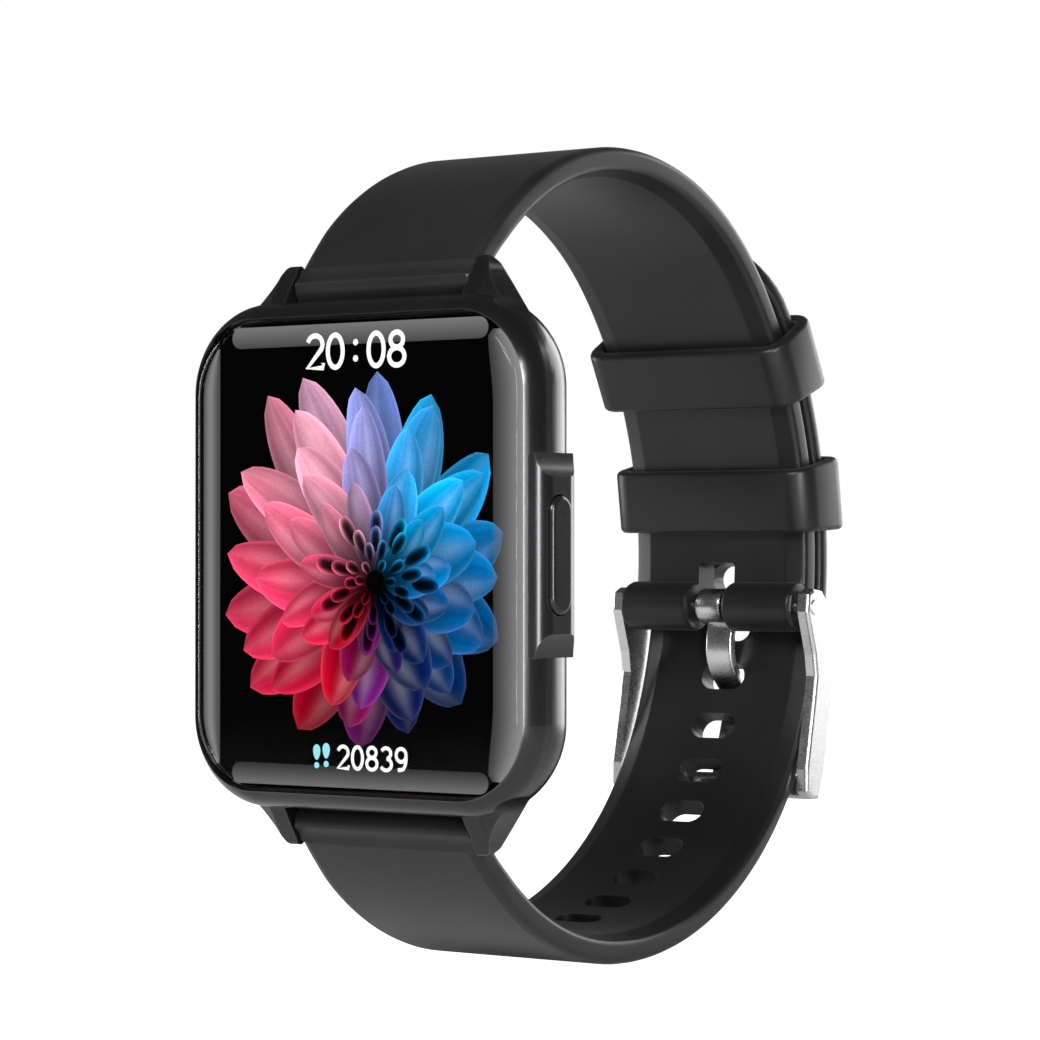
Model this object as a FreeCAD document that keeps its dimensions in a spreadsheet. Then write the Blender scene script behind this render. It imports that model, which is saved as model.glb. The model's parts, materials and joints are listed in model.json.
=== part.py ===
import FreeCAD, Part
import math
import os
import Sketcher
from FreeCAD import Placement, Rotation, Vector

# Smartwatch on a closed band, in millimetres.
# +X is the button side, -Y is the way the screen faces, +Z is twelve o'clock.
# The origin is the centre of the flat outer face of the sensor window, which rests on the wrist.

SIZES = {
    # case
    "case_half_width": 19.25,
    "case_half_height": 22.2,
    "case_corner": 8.0,
    "case_front": -11.4,
    "case_rear": -1.6,
    "rear_round": 6.0,
    "front_round": 3.0,
    "port_width": 24.6,
    "port_height": 29.4,
    "port_corner": 7.0,
    # glass and display
    "glass_front": -11.0,
    "glass_width": 36.3,
    "glass_height": 40.9,
    "glass_thick": 1.3,
    "glass_corner": 6.5,
    "glass_round": 0.9,
    "glass_gap": 0.25,
    "seal_thick": 0.2,
    "display_width": 32.8,
    "display_height": 37.6,
    "display_thick": 1.1,
    "display_corner": 4.6,
    # inner cavity and the plastic tray in it
    "cavity_half_width": 16.9,
    "cavity_half_height": 19.4,
    "cavity_corner": 5.5,
    "cavity_rear": -4.2,
    "tray_width": 33.5,
    "tray_height": 38.5,
    "tray_corner": 5.3,
    "tray_rear": -4.4,
    "tray_depth": 3.9,
    "tray_floor": 0.6,
    "tray_wall": 1.0,
    # board and motor
    "board_width": 9.4,
    "board_height": 33.0,
    "board_thick": 0.8,
    "board_x": 10.2,
    "board_y": -6.6,
    "motor_x": -8.0,
    "motor_z": -14.0,
    "motor_rear": -4.8,
    "motor_radius": 3.6,
    "motor_length": 2.5,
    "motor_wall": 0.3,
    "rotor_radius": 3.0,
    "rotor_thick": 1.4,
    "shaft_radius": 0.4,
    # lugs and spring bars
    "lug_gap": 20.0,
    "bar_y": -5.2,
    "bar_z": 23.7,
    "bar_radius": 0.75,
    "bar_half_length": 8.9,
    "tip_radius": 0.4,
    "slider_radius": 0.48,
    "lever_x": 5.5,
    # side button
    "button_y": -7.5,
    "button_length": 10.0,
    "button_height": 2.8,
    "button_top": 20.35,
    "button_depth": 1.2,
    "button_edge": 0.4,
    "stem_radius": 0.6,
    "stem_length": 4.1,
    "guard_top": 20.0,
    "guard_half_length": 6.6,
    "guard_scoop": 3.0,
    "plunger_radius": 0.5,
    # back
    "cover_width": 28.0,
    "cover_height": 33.2,
    "cover_corner": 5.6,
    "cover_thick": 1.0,
    "window_radius": 8.5,
    "window_thick": 0.98,
    "dome_rim": 2.4,
    "dome_depth": 1.7,
    "dome_edge": 1.2,
    "screw_radius": 0.39,
    "head_radius": 0.85,
    "pin_radius": 0.8,
    "pin_z": -12.6,
    # band
    "strap_width": 20.0,
    "strap_thick": 2.65,
    "tail_thick": 2.1,
    "crest_y": 16.4,
    "crest_z": 9.12,
    "crest_radius": 27.7,
    "wrist_y": 5.4,
    "upper_radius": 42.0,
    "tail_radius": 44.2,
    "heel_z": 4.55,
    "heel_radius": 32.3,
    "heel_inner_z": 3.7,
    "heel_inner_radius": 30.5,
    "roll_radius": 2.2,
    "tip_angle": 45.6,
    "hole_length": 5.0,
    "hole_height": 2.6,
    "hole_pitch": 5.0,
    "tongue_hole_angle": -16.4,
    "bend_hole_angle": -23.6,
    # buckle
    "buckle_y": 44.55,
    "buckle_z": 5.0,
    "buckle_bar_radius": 0.75,
    "arm_x": 11.0,
    "arm_thick": 1.2,
    "arm_edge": 0.35,
    "crossbar_thick": 1.5,
    "crossbar_depth": 2.2,
    "crossbar_corner": 0.6,
    "tongue_width": 3.0,
    "tongue_wall": 0.95,
    # keepers
    "keeper_width": 6.6,
    "keeper_wall": 1.4,
    "keeper_corner": 2.2,
    "keeper_gap": 0.15,
    "fixed_keeper_angle": 7.8,
    "free_keeper_angle": 26.2,
}

# Places across and up the back: the four cover screws, the two charging pins and the two magnets.
SCREW_SPOTS = [(x, z) for x in (-10.8, 10.8) for z in (-13.6, 13.6)]
PIN_SPOTS = (-4.0, 4.0)
MAGNET_SPOTS = (-7.9, 7.9)

# Each block inside: its width, depth and height, then its middle in X, its front in Y and its middle in Z.
BLOCKS = {
    "battery": ((18.4, 2.7, 24.5), (-5.4, -7.4, 3.4)),
    "battery_lead": ((3.0, 0.2, 6.0), (6.0, -5.0, 12.0)),
    "battery_connector": ((3.0, 0.8, 2.0), (7.4, -6.6, 13.8)),
    "processor": ((6.0, 0.9, 6.0), (10.2, -6.6, 9.0)),
    "memory": ((5.0, 0.8, 4.0), (10.2, -6.6, -8.0)),
    "radio_shield": ((7.0, 1.2, 5.0), (10.2, -6.6, -13.3)),
    "antenna_strip": ((20.0, 2.4, 0.2), (-1.0, -7.3, 17.9)),
    "display_flex": ((9.0, 0.15, 11.0), (9.5, -8.6, -11.8)),
}

doc = FreeCAD.newDocument("smartwatch")
sheet = doc.addObject("Spreadsheet::Sheet", "sizes")
for row, (alias, value) in enumerate(SIZES.items(), start=1):
    sheet.set("A%d" % row, alias)
    sheet.set("B%d" % row, str(value))
    sheet.setAlias("B%d" % row, alias)
doc.recompute()


def size(alias):
    """A driving dimension, read back from the sheet."""
    return float(sheet.get(alias))


pieces = []


def keep(piece, label):
    """Names a finished sub-part and lists it for export."""
    piece.Label = label
    pieces.append(piece)
    return piece


def bind(item, **links):
    """Ties properties of an object to sheet expressions; aliases are written with an @ before them."""
    for name, text in links.items():
        item.setExpression(name.replace("__", "."), text.replace("@", "sizes."))


def new_body(name):
    return doc.addObject("PartDesign::Body", name + "_body")


def plane(body, role):
    return [item for item in body.Origin.OriginFeatures if item.Role == role][0]


def new_sketch(body, role, offset=Vector(), turn=Rotation()):
    """A sketch on one of the body's origin planes, shifted and turned in that plane's own frame."""
    sketch = body.newObject("Sketcher::SketchObject", body.Name + "_sketch")
    sketch.AttachmentSupport = [(plane(body, role), "")]
    sketch.MapMode = "FlatFace"
    sketch.AttachmentOffset = Placement(offset, turn)
    return sketch


def value_of(text):
    """The number that an expression gives; an @ stands before each alias."""
    answer = sheet.evalExpression(text.replace("@", "sizes."))
    return float(getattr(answer, "Value", answer))


def rounded_rectangle(sketch, width, height, corner, centre=(0, 0)):
    """A closed rounded rectangle whose three sizes are driven by expressions (an @ before aliases)."""
    cx, cy = centre
    first = sketch.GeometryCount
    half_x, half_y, rim = value_of(width) / 2, value_of(height) / 2, value_of(corner)
    in_x, in_y = half_x - rim, half_y - rim
    for sx, sy, start in [(1, 1, 0), (-1, 1, 90), (-1, -1, 180), (1, -1, 270)]:
        ring = Part.Circle(Vector(cx + sx * in_x, cy + sy * in_y, 0), Vector(0, 0, 1), rim)
        begin = math.radians(start)
        sketch.addGeometry(Part.ArcOfCircle(ring, begin, begin + math.pi / 2))
    sides = [((in_x, half_y), (-in_x, half_y)), ((-half_x, in_y), (-half_x, -in_y)),
             ((-in_x, -half_y), (in_x, -half_y)), ((half_x, -in_y), (half_x, in_y))]
    for (ax, ay), (bx, by) in sides:
        sketch.addGeometry(Part.LineSegment(Vector(cx + ax, cy + ay, 0), Vector(cx + bx, cy + by, 0)))
    for number in range(4):
        arc_number, line = first + number, first + 4 + number
        following = first + (number + 1) % 4
        sketch.addConstraint(Sketcher.Constraint("Tangent", arc_number, 2, line, 1))
        sketch.addConstraint(Sketcher.Constraint("Tangent", line, 2, following, 1))
    top, left, bottom, right = first + 4, first + 5, first + 6, first + 7
    sketch.addConstraint(Sketcher.Constraint("Horizontal", top))
    sketch.addConstraint(Sketcher.Constraint("Horizontal", bottom))
    sketch.addConstraint(Sketcher.Constraint("Vertical", left))
    sketch.addConstraint(Sketcher.Constraint("Vertical", right))
    sketch.addConstraint(Sketcher.Constraint("Equal", first, first + 2))
    driven = [
        (Sketcher.Constraint("Radius", first, rim), corner),
        (Sketcher.Constraint("DistanceX", left, 1, right, 1, 2 * half_x), width),
        (Sketcher.Constraint("DistanceY", bottom, 1, top, 1, 2 * half_y), height),
        (Sketcher.Constraint("DistanceX", -1, 1, right, 1, cx + half_x), "%g + (%s) / 2" % (cx, width)),
        (Sketcher.Constraint("DistanceY", -1, 1, top, 1, cy + half_y), "%g + (%s) / 2" % (cy, height)),
    ]
    for constraint, text in driven:
        number = sketch.addConstraint(constraint)
        sketch.setExpression("Constraints[%d]" % number, text.replace("@", "sizes."))
    return sketch


def circle(sketch, radius, centre=(0, 0)):
    """A circle whose radius is driven by an expression."""
    cx, cy = centre
    number = sketch.addGeometry(Part.Circle(Vector(cx, cy, 0), Vector(0, 0, 1), 1.0))
    sketch.addConstraint(Sketcher.Constraint("DistanceX", -1, 1, number, 3, cx))
    sketch.addConstraint(Sketcher.Constraint("DistanceY", -1, 1, number, 3, cy))
    bound = sketch.addConstraint(Sketcher.Constraint("Radius", number, 1.0))
    sketch.setExpression("Constraints[%d]" % bound, radius.replace("@", "sizes."))
    return sketch


def outline(sketch, path):
    """A closed outline. Each entry is ("line", start, end) or ("arc", start, middle, end)."""
    for kind, *points in path:
        spots = [Vector(x, y, 0) for x, y in points]
        if kind == "line":
            sketch.addGeometry(Part.LineSegment(*spots))
        else:
            sketch.addGeometry(Part.Arc(*spots))
    for number in range(len(path)):
        sketch.addConstraint(Sketcher.Constraint("Block", number))
    return sketch


def polygon(sketch, points):
    """A closed outline of straight lines."""
    return outline(sketch, [("line", a, b) for a, b in zip(points, points[1:] + points[:1])])


def feature(body, kind, sketch, **settings):
    """A sketch-based feature; string settings are expressions and the others are plain values."""
    item = body.newObject("PartDesign::" + kind, "%s_%s" % (body.Name, kind.lower()))
    item.Profile = sketch
    for name, value in settings.items():
        if isinstance(value, str) and name not in ("Type", "SideType"):
            bind(item, **{name: value})
        else:
            setattr(item, name, value)
    sketch.Visibility = False
    doc.recompute()
    return item


def pad(body, sketch, length, **more):
    return feature(body, "Pad", sketch, Length=length, **more)


def pocket(body, sketch, length, **more):
    """A pocket that has to take material away."""
    before = body.Shape.Volume
    item = feature(body, "Pocket", sketch, Length=length, **more)
    if body.Shape.Volume > before - 1e-4:
        raise ValueError("%s cuts nothing" % item.Name)
    return item


def edges_where(shape, test):
    """Names of the edges whose points all pass a test of (x, y, z)."""
    names = []
    for number, edge in enumerate(shape.Edges, start=1):
        points = edge.discretize(5)
        if all(test(point.x, point.y, point.z) for point in points):
            names.append("Edge%d" % number)
    return names


def dress(body, kind, test, size_text, **more):
    """A fillet or chamfer on the body's edges that pass a test."""
    base = body.Tip
    item = body.newObject("PartDesign::" + kind, "%s_%s" % (body.Name, kind.lower()))
    item.Base = (base, edges_where(base.Shape, test))
    bind(item, **{"Radius" if kind == "Fillet" else "Size": size_text})
    for name, value in more.items():
        setattr(item, name, value)
    doc.recompute()
    return item


def plate(label, width, height, thick, corner, place):
    """A flat rounded plate that faces along Y; place is the middle of its rear face."""
    body = new_body(label)
    sketch = rounded_rectangle(new_sketch(body, "XZ_Plane"), width, height, corner)
    pad(body, sketch, thick)
    body.Placement = Placement(Vector(*place), Rotation())
    return keep(body, label)


def block(name, extent, place):
    """A Part box given by its middle in X and Z and by its front face in Y."""
    width, depth, height = extent
    x, y, z = place
    box = doc.addObject("Part::Box", name)
    bind(box, Length="%g" % width, Width="%g" % depth, Height="%g" % height)
    box.Placement = Placement(Vector(x - width / 2, y, z - height / 2), Rotation())
    return box


TOWARD_BACK = Rotation(Vector(1, 0, 0), -90)
TOWARD_SIDE = Rotation(Vector(0, 1, 0), 90)


def rod(name, radius, length, start, turn):
    """A Part cylinder that starts at a point and runs along its turned Z axis."""
    item = doc.addObject("Part::Cylinder", name)
    bind(item, Radius=radius, Height=length)
    item.Placement = Placement(Vector(*start), turn)
    return item


def joined(label, first, *others):
    """Several Part solids fused into one piece."""
    item = doc.addObject("Part::MultiFuse", label)
    item.Shapes = [first, *others]
    item.Refine = True
    return item


def cut(label, base, tool):
    item = doc.addObject("Part::Cut", label)
    item.Base = base
    item.Tool = tool
    return item


def group(label, *solids):
    """Separate identical solids kept in one node."""
    item = doc.addObject("Part::Compound", label)
    item.Links = list(solids)
    return keep(item, label)


# ---------------------------------------------------------------- case and its inside

def build_case():
    body = new_body("case")
    ring = rounded_rectangle(new_sketch(body, "XZ_Plane", Vector(0, 0, -size("case_rear"))),
                             "2 * @case_half_width", "2 * @case_half_height", "@case_corner")
    pad(body, ring, "@case_rear - @case_front")
    front, rear = size("case_front"), size("case_rear")
    dress(body, "Fillet", lambda x, y, z: abs(y - rear) < 1e-3, "@rear_round")
    dress(body, "Fillet", lambda x, y, z: abs(y - front) < 1e-3, "@front_round")
    add_lugs(body)
    add_guard(body)
    middle = Vector(0, 0, -front)
    recess = rounded_rectangle(new_sketch(body, "XZ_Plane", middle), "@glass_width + 2 * @glass_gap",
                               "@glass_height + 2 * @glass_gap", "@glass_corner + @glass_gap")
    pocket(body, recess, "@glass_front + @glass_thick + @seal_thick - @case_front")
    cavity = rounded_rectangle(new_sketch(body, "XZ_Plane", middle), "2 * @cavity_half_width",
                               "2 * @cavity_half_height", "@cavity_corner")
    pocket(body, cavity, "@cavity_rear - @case_front")
    port = rounded_rectangle(new_sketch(body, "XZ_Plane", middle), "@port_width", "@port_height",
                             "@port_corner")
    pocket(body, port, "@case_rear - @case_front + 1")
    seat = rounded_rectangle(new_sketch(body, "XZ_Plane", Vector(0, 0, -rear)), "@cover_width + 0.2",
                             "@cover_height + 0.2", "@cover_corner + 0.1")
    pocket(body, seat, "@cover_thick + 0.3", Reversed=True)
    drill_case(body)
    return keep(body, "case")


def add_lugs(body):
    """Four lugs: the front face slopes back towards the strap, and the flank flares into the case corner."""
    for side in (-1, 1):
        for end in (-1, 1):
            add_lug(body, side, end)
    for end in (-1, 1):
        seat = new_sketch(body, "YZ_Plane")
        circle(seat, "@roll_radius + 0.25", (size("bar_y"), end * size("bar_z")))
        pocket(body, seat, "@lug_gap", SideType="Symmetric")


def add_lug(body, side, end):
    """One lug: a straight tongue beside the strap, a loft into the case corner and a hollow flank."""
    inner, tongue, reach = size("lug_gap") / 2, 1.7, 6.8
    root = [(-9.6, 19.7), (-6.3, 25.2), (-5.3, 25.2), (-3.2, 23.4), (-3.4, 19.7)]
    corner = [(-8.6, 17.9), (-8.1, 19.3), (-6.6, 19.3), (-5.9, 18.9), (-5.6, 17.9)]
    tip = [("line", (-9.6, 19.7), (-6.3, 25.2)), ("arc", (-6.3, 25.2), (-5.85, 25.65), (-5.3, 25.4)),
           ("line", (-5.3, 25.4), (-3.2, 23.4)), ("line", (-3.2, 23.4), (-3.4, 19.7)),
           ("line", (-3.4, 19.7), (-9.6, 19.7))]
    flank = [("arc", (16.6, 20.2), (13.1, 22.6), (11.9, 24.4)),
             ("arc", (11.9, 24.4), (11.55, 25.2), (10.9, 25.8)),
             ("line", (10.9, 25.8), (10.9, 27.0)), ("line", (10.9, 27.0), (20.0, 27.0)),
             ("line", (20.0, 27.0), (20.0, 20.2)), ("line", (20.0, 20.2), (16.6, 20.2))]
    start = side * inner if side > 0 else side * (inner + tongue)
    profile = new_sketch(body, "YZ_Plane", Vector(0, 0, start))
    pad(body, outline(profile, mirrored(tip, 1, end)), tongue)
    near = polygon(new_sketch(body, "YZ_Plane", Vector(0, 0, side * (inner + tongue))),
                   [(y, end * z) for y, z in root])
    far = polygon(new_sketch(body, "YZ_Plane", Vector(0, 0, side * (inner + reach))),
                  [(y, end * z) for y, z in corner])
    feature(body, "AdditiveLoft", near, Sections=[far], Ruled=True)
    pocket(body, outline(new_sketch(body, "XZ_Plane", Vector(0, 0, 12)), mirrored(flank, side, end)), 12.0)


def mirrored(path, first, second):
    """An outline with its two coordinates multiplied by the given signs."""
    return [(kind,) + tuple((first * u, second * v) for u, v in points) for kind, *points in path]


def add_guard(body):
    """The raised block that frames the button; a round scoop takes each end down to the case side."""
    top, side, reach = size("guard_top"), size("case_half_width"), size("guard_half_length")
    section = [("arc", (18.8, -10.25), (19.68, -9.5), (top, -8.4)), ("line", (top, -8.4), (top, -6.0)),
               ("arc", (top, -6.0), (19.55, -4.95), (18.2, -4.3)), ("line", (18.2, -4.3), (17.2, -4.3)),
               ("line", (17.2, -4.3), (17.2, -9.0)), ("line", (17.2, -9.0), (18.8, -10.25))]
    scoop = size("guard_scoop")
    run = math.sqrt(scoop ** 2 - (scoop - (top - side)) ** 2)
    pad(body, outline(new_sketch(body, "XY_Plane"), section), 2 * (reach + run), SideType="Symmetric")
    straight = new_sketch(body, "XZ_Plane", Vector(side, 0, 12))
    leaning = new_sketch(body, "XZ_Plane", Vector(side + 0.94, 0, 12), Rotation(Vector(0, 1, 0), 12))
    for ends in (straight, leaning):
        for end in (-1, 1):
            circle(ends, "@guard_scoop", (scoop, end * (reach + run)))
        pocket(body, ends, 12.0)


def drill_case(body):
    """Spring bar holes, the button well and its stem hole, and four screw holes for the cover."""
    for end in (-1, 1):
        spot = (size("bar_y"), end * size("bar_z"))
        bar = circle(new_sketch(body, "YZ_Plane"), "@tip_radius + 0.05", spot)
        pocket(body, bar, 2 * 11.0, SideType="Symmetric")
        room = circle(new_sketch(body, "YZ_Plane"), "@roll_radius + 0.25", spot)
        pocket(body, room, 20.1, SideType="Symmetric")
    well = rounded_rectangle(new_sketch(body, "YZ_Plane", Vector(0, 0, size("guard_top") + 1)),
                             "@button_height + 0.24", "@button_length + 0.24", "@button_height / 2 + 0.119",
                             centre=(size("button_y"), 0))
    pocket(body, well, 2.5)
    stem = circle(new_sketch(body, "YZ_Plane", Vector(0, 0, 21)), "0.85", (size("button_y"), 0))
    pocket(body, stem, 6.0)
    screws = new_sketch(body, "XZ_Plane", Vector(0, 0, 4.1))
    for x, z in SCREW_SPOTS:
        circle(screws, "0.4", (x, z))
    pocket(body, screws, 1.3)


def build_glass():
    body = new_body("cover_glass")
    sketch = rounded_rectangle(new_sketch(body, "XZ_Plane"), "@glass_width", "@glass_height", "@glass_corner")
    pad(body, sketch, "@glass_thick")
    thick = size("glass_thick")
    dress(body, "Fillet", lambda x, y, z: abs(y + thick) < 1e-3, "@glass_round")
    bind(body, Placement__Base__y="@glass_front + @glass_thick")
    return keep(body, "cover_glass")


def frame_plate(label, outer, inner, thick, rear, corners):
    """A flat ring of rounded rectangular outline."""
    body = new_body(label)
    sketch = new_sketch(body, "XZ_Plane")
    rounded_rectangle(sketch, outer[0], outer[1], corners[0])
    rounded_rectangle(sketch, inner[0], inner[1], corners[1])
    pad(body, sketch, thick)
    body.Placement = Placement(Vector(0, rear, 0), Rotation())
    return keep(body, label)


def build_front_stack():
    build_glass()
    rear = size("glass_front") + size("glass_thick")
    frame_plate("glass_seal", ("@glass_width - 0.3", "@glass_height - 0.3"),
                ("2 * @cavity_half_width + 0.3", "2 * @cavity_half_height + 0.1"), "@seal_thick",
                rear + size("seal_thick"), ("@glass_corner - 0.1", "@cavity_corner"))
    plate("display_panel", "@display_width", "@display_height", "@display_thick", "@display_corner",
          (0, rear + size("display_thick"), 0))


def build_inner_frame():
    """A plastic tray that carries the display in front and the battery and boards behind."""
    body = new_body("inner_frame")
    rear = Vector(0, 0, -size("tray_rear"))
    outer = rounded_rectangle(new_sketch(body, "XZ_Plane", rear), "@tray_width", "@tray_height",
                              "@tray_corner")
    pad(body, outer, "@tray_depth")
    tray = rounded_rectangle(new_sketch(body, "XZ_Plane", rear), "@tray_width - 2 * @tray_wall",
                             "@tray_height - 2 * @tray_wall", "@tray_corner - @tray_wall")
    pocket(body, tray, "@tray_depth - @tray_floor", Reversed=True)
    gate = rounded_rectangle(new_sketch(body, "YZ_Plane", Vector(0, 0, 14)), "4.8", "5.4", "0.4",
                             centre=(-6.3, 0))
    pocket(body, gate, 5.0, Reversed=True)
    return keep(body, "inner_frame")


def build_boards():
    """The main board, notched for the button's switch, and the plain blocks around it."""
    board = new_body("main_board")
    sketch = rounded_rectangle(new_sketch(board, "XZ_Plane"), "@board_width", "@board_height", "0.8")
    pad(board, sketch, "@board_thick")
    notch = rounded_rectangle(new_sketch(board, "XZ_Plane"), "5", "6", "0.5", centre=(3.6, 0))
    pocket(board, notch, 2.0, Reversed=True)
    bind(board, Placement__Base__x="@board_x", Placement__Base__y="@board_y")
    keep(board, "main_board")
    for label, (extent, place) in BLOCKS.items():
        keep(block(label, extent, place), label)


def build_motor():
    """A coin vibration motor: a closed can, a fixed shaft and an eccentric rotor between them."""
    x, z, rear = size("motor_x"), size("motor_z"), size("motor_rear")
    wall, gap = size("motor_wall"), 0.25
    room_length = size("motor_length") - 2 * wall
    body = new_body("motor_can")
    pad(body, circle(new_sketch(body, "XZ_Plane"), "@motor_radius"), "@motor_length")
    room = circle(new_sketch(body, "XZ_Plane", Vector(0, 0, wall)), "@motor_radius - @motor_wall")
    pocket(body, room, "@motor_length - 2 * @motor_wall", Reversed=True)
    body.Placement = Placement(Vector(x, rear, z), Rotation())
    keep(body, "motor_can")
    keep(rod("motor_shaft", "@shaft_radius", "@motor_length - 2 * @motor_wall",
             (x, rear - wall - room_length, z), TOWARD_BACK), "motor_shaft")
    rotor = new_body("motor_rotor")
    weight = new_sketch(rotor, "XZ_Plane")
    radius = size("rotor_radius")
    outline(weight, [("arc", (-radius, 0), (0, radius), (radius, 0)), ("line", (radius, 0), (1.0, -0.6)),
                     ("arc", (1.0, -0.6), (0, -1.17), (-1.0, -0.6)), ("line", (-1.0, -0.6), (-radius, 0))])
    circle(weight, "@shaft_radius + 0.05")
    pad(rotor, weight, "@rotor_thick")
    rotor.Placement = Placement(Vector(x, rear - wall - gap, z), Rotation())
    keep(rotor, "motor_rotor")


def build_button():
    """The side button with its stem, the stem's seal, spring and clip, and the switch it presses."""
    y = size("button_y")
    face = size("button_top")
    body = new_body("side_button")
    cap = rounded_rectangle(new_sketch(body, "YZ_Plane", Vector(y, 0, face)), "@button_height",
                            "@button_length", "@button_height / 2 - 0.001")
    pad(body, cap, "@button_depth", Reversed=True)
    dress(body, "Fillet", lambda px, py, pz: abs(px - face) < 1e-3, "@button_edge")
    stem = circle(new_sketch(body, "YZ_Plane", Vector(y, 0, face - size("button_depth"))), "@stem_radius")
    pad(body, stem, "@stem_length", Reversed=True)
    keep(body, "side_button")
    ring = doc.addObject("Part::Torus", "button_seal")
    bind(ring, Radius1="@stem_radius + 0.12", Radius2="0.1")
    ring.Placement = Placement(Vector(17.6, y, 0), TOWARD_SIDE)
    keep(ring, "button_seal")
    keep(tube("button_clip", 1.0, 0.62, 0.3, (15.3, y, 0), TOWARD_SIDE), "button_clip")
    keep(tube("button_spring", 0.95, 0.72, 1.2, (15.65, y, 0), TOWARD_SIDE), "button_spring")
    shell = block("switch_shell", (2.2, 2.4, 4.0), (12.9, y - 0.2, 0))
    pit = rod("switch_pit", "@plunger_radius + 0.05", "0.9", (13.25, y + 0.5, 0), TOWARD_SIDE)
    keep(cut("switch_body_cut", shell, pit), "switch_body")
    keep(rod("switch_plunger", "@plunger_radius", "1.3", (13.65, y + 0.5, 0), TOWARD_SIDE), "switch_plunger")


def tube(name, outer, inner, length, start, turn):
    """A plain tube made of two Part cylinders."""
    wide = rod(name + "_outer", "%g" % outer, "%g" % length, start, turn)
    bore = rod(name + "_bore", "%g" % inner, "%g" % length, start, turn)
    return cut(name + "_cut", wide, bore)


def build_back():
    """The back cover with its seal and screws, the sensor window and what sits behind it."""
    build_back_cover()
    rear = size("case_rear")
    frame_plate("back_seal", ("@cover_width - 0.2", "@cover_height - 0.2"), ("25.6", "30.4"), 0.2,
                rear - size("cover_thick") - 0.05, ("@cover_corner - 0.1", "4.0"))
    screws = []
    for number, (x, z) in enumerate(SCREW_SPOTS):
        head = rod("screw_head_%d" % number, "@head_radius", "0.45", (x, rear - 0.5, z), TOWARD_BACK)
        shank = rod("screw_shank_%d" % number, "@screw_radius", "1.9", (x, rear - 2.4, z), TOWARD_BACK)
        screws.append(joined("screw_%d" % number, head, shank))
    group("back_screws", *screws)
    build_sensor()


def build_back_cover():
    """A flat cover with a raised dome for the window, countersunk for its screws and pierced for the pins."""
    body = new_body("back_cover")
    outside = Vector(0, 0, -size("case_rear"))
    rim = rounded_rectangle(new_sketch(body, "XZ_Plane", outside), "@cover_width", "@cover_height",
                            "@cover_corner")
    pad(body, rim, "@cover_thick")
    pad(body, circle(new_sketch(body, "XZ_Plane"), "@window_radius + @dome_rim"), "@dome_depth")
    dress(body, "Chamfer", lambda x, y, z: abs(y) < 1e-3, "@dome_edge")
    seat = circle(new_sketch(body, "XZ_Plane"), "@window_radius + 0.05")
    pocket(body, seat, "@window_thick + 0.02", Reversed=True)
    port = circle(new_sketch(body, "XZ_Plane"), "@window_radius - 1.5")
    pocket(body, port, 4.0, Reversed=True)
    for radius, depth in (("@screw_radius + 0.11", 2.0), ("@head_radius + 0.1", 0.5)):
        holes = new_sketch(body, "XZ_Plane", outside)
        for spot in SCREW_SPOTS:
            circle(holes, radius, spot)
        pocket(body, holes, depth, Reversed=True)
    pins = new_sketch(body, "XZ_Plane")
    for x in PIN_SPOTS:
        circle(pins, "@pin_radius + 0.05", (x, size("pin_z")))
    pocket(body, pins, 4.0, Reversed=True)
    keep(body, "back_cover")


def build_sensor():
    """The sensor window with its board, lights and photodiodes, and the charging pins and magnets."""
    keep(rod("sensor_window", "@window_radius", "@window_thick", (0, -size("window_thick"), 0), TOWARD_BACK),
         "sensor_window")
    keep(rod("sensor_board", "@window_radius - 0.3", "0.5", (0, -3.5, 0), TOWARD_BACK), "sensor_board")
    lights = [block("light_%d" % n, (1.6, 0.6, 1.2), (0, -3.0, z)) for n, z in enumerate((-1.1, 1.1))]
    group("sensor_lights", *lights)
    eyes = [block("eye_%d" % n, (2.2, 0.5, 2.2), (x, -3.0, 0)) for n, x in enumerate((-4.2, 4.2))]
    group("sensor_diodes", *eyes)
    row = size("pin_z")
    pins = [rod("pin_%d" % n, "@pin_radius", "1.3", (x, -2.8, row), TOWARD_BACK)
            for n, x in enumerate(PIN_SPOTS)]
    group("charging_pins", *pins)
    magnets = [rod("magnet_%d" % n, "1.4", "1.0", (x, -3.75, row), TOWARD_BACK)
               for n, x in enumerate(MAGNET_SPOTS)]
    group("charging_magnets", *magnets)


# ---------------------------------------------------------------- band

WRIST = Vector(0, size("wrist_y"), 0)


def around(centre, radius, angle):
    """A point (y, z) on a circle about a centre (y, z), at an angle in degrees from +Y."""
    a = math.radians(angle)
    return (centre[0] + radius * math.cos(a), centre[1] + radius * math.sin(a))


def arc(centre, radius, first, last):
    """An arc entry for an outline, between two angles in degrees."""
    middle = (first + last) / 2
    return ("arc", around(centre, radius, first), around(centre, radius, middle), around(centre, radius, last))


def closed_by_lines(entries):
    """Adds the straight lines that join one arc's end to the next arc's start."""
    path = []
    for number, entry in enumerate(entries):
        path.append(entry)
        start = entries[(number + 1) % len(entries)][1]
        if math.dist(entry[-1], start) > 1e-6:
            path.append(("line", entry[-1], start))
    return path


def tangent_sketch(body, centre, angle, radius):
    """A sketch that lies on the band: its normal is the outward direction at an angle about a centre."""
    y, z = around(centre, radius, angle)
    return new_sketch(body, "XY_Plane", Vector(0, y, z), Rotation(Vector(1, 0, 0), angle - 90))


def band_centres():
    back = (size("wrist_y"), 0)
    crest = (size("crest_y"), size("crest_z"))
    return back, crest


def end_roll(body, spot, radius, bore):
    """The round end of a strap half with the bore for its bar."""
    roll = circle(new_sketch(body, "YZ_Plane"), radius, spot)
    pad(body, roll, "@strap_width - 0.2", SideType="Symmetric")
    hole = circle(new_sketch(body, "YZ_Plane"), bore, spot)
    pocket(body, hole, 30.0, SideType="Symmetric")


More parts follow.
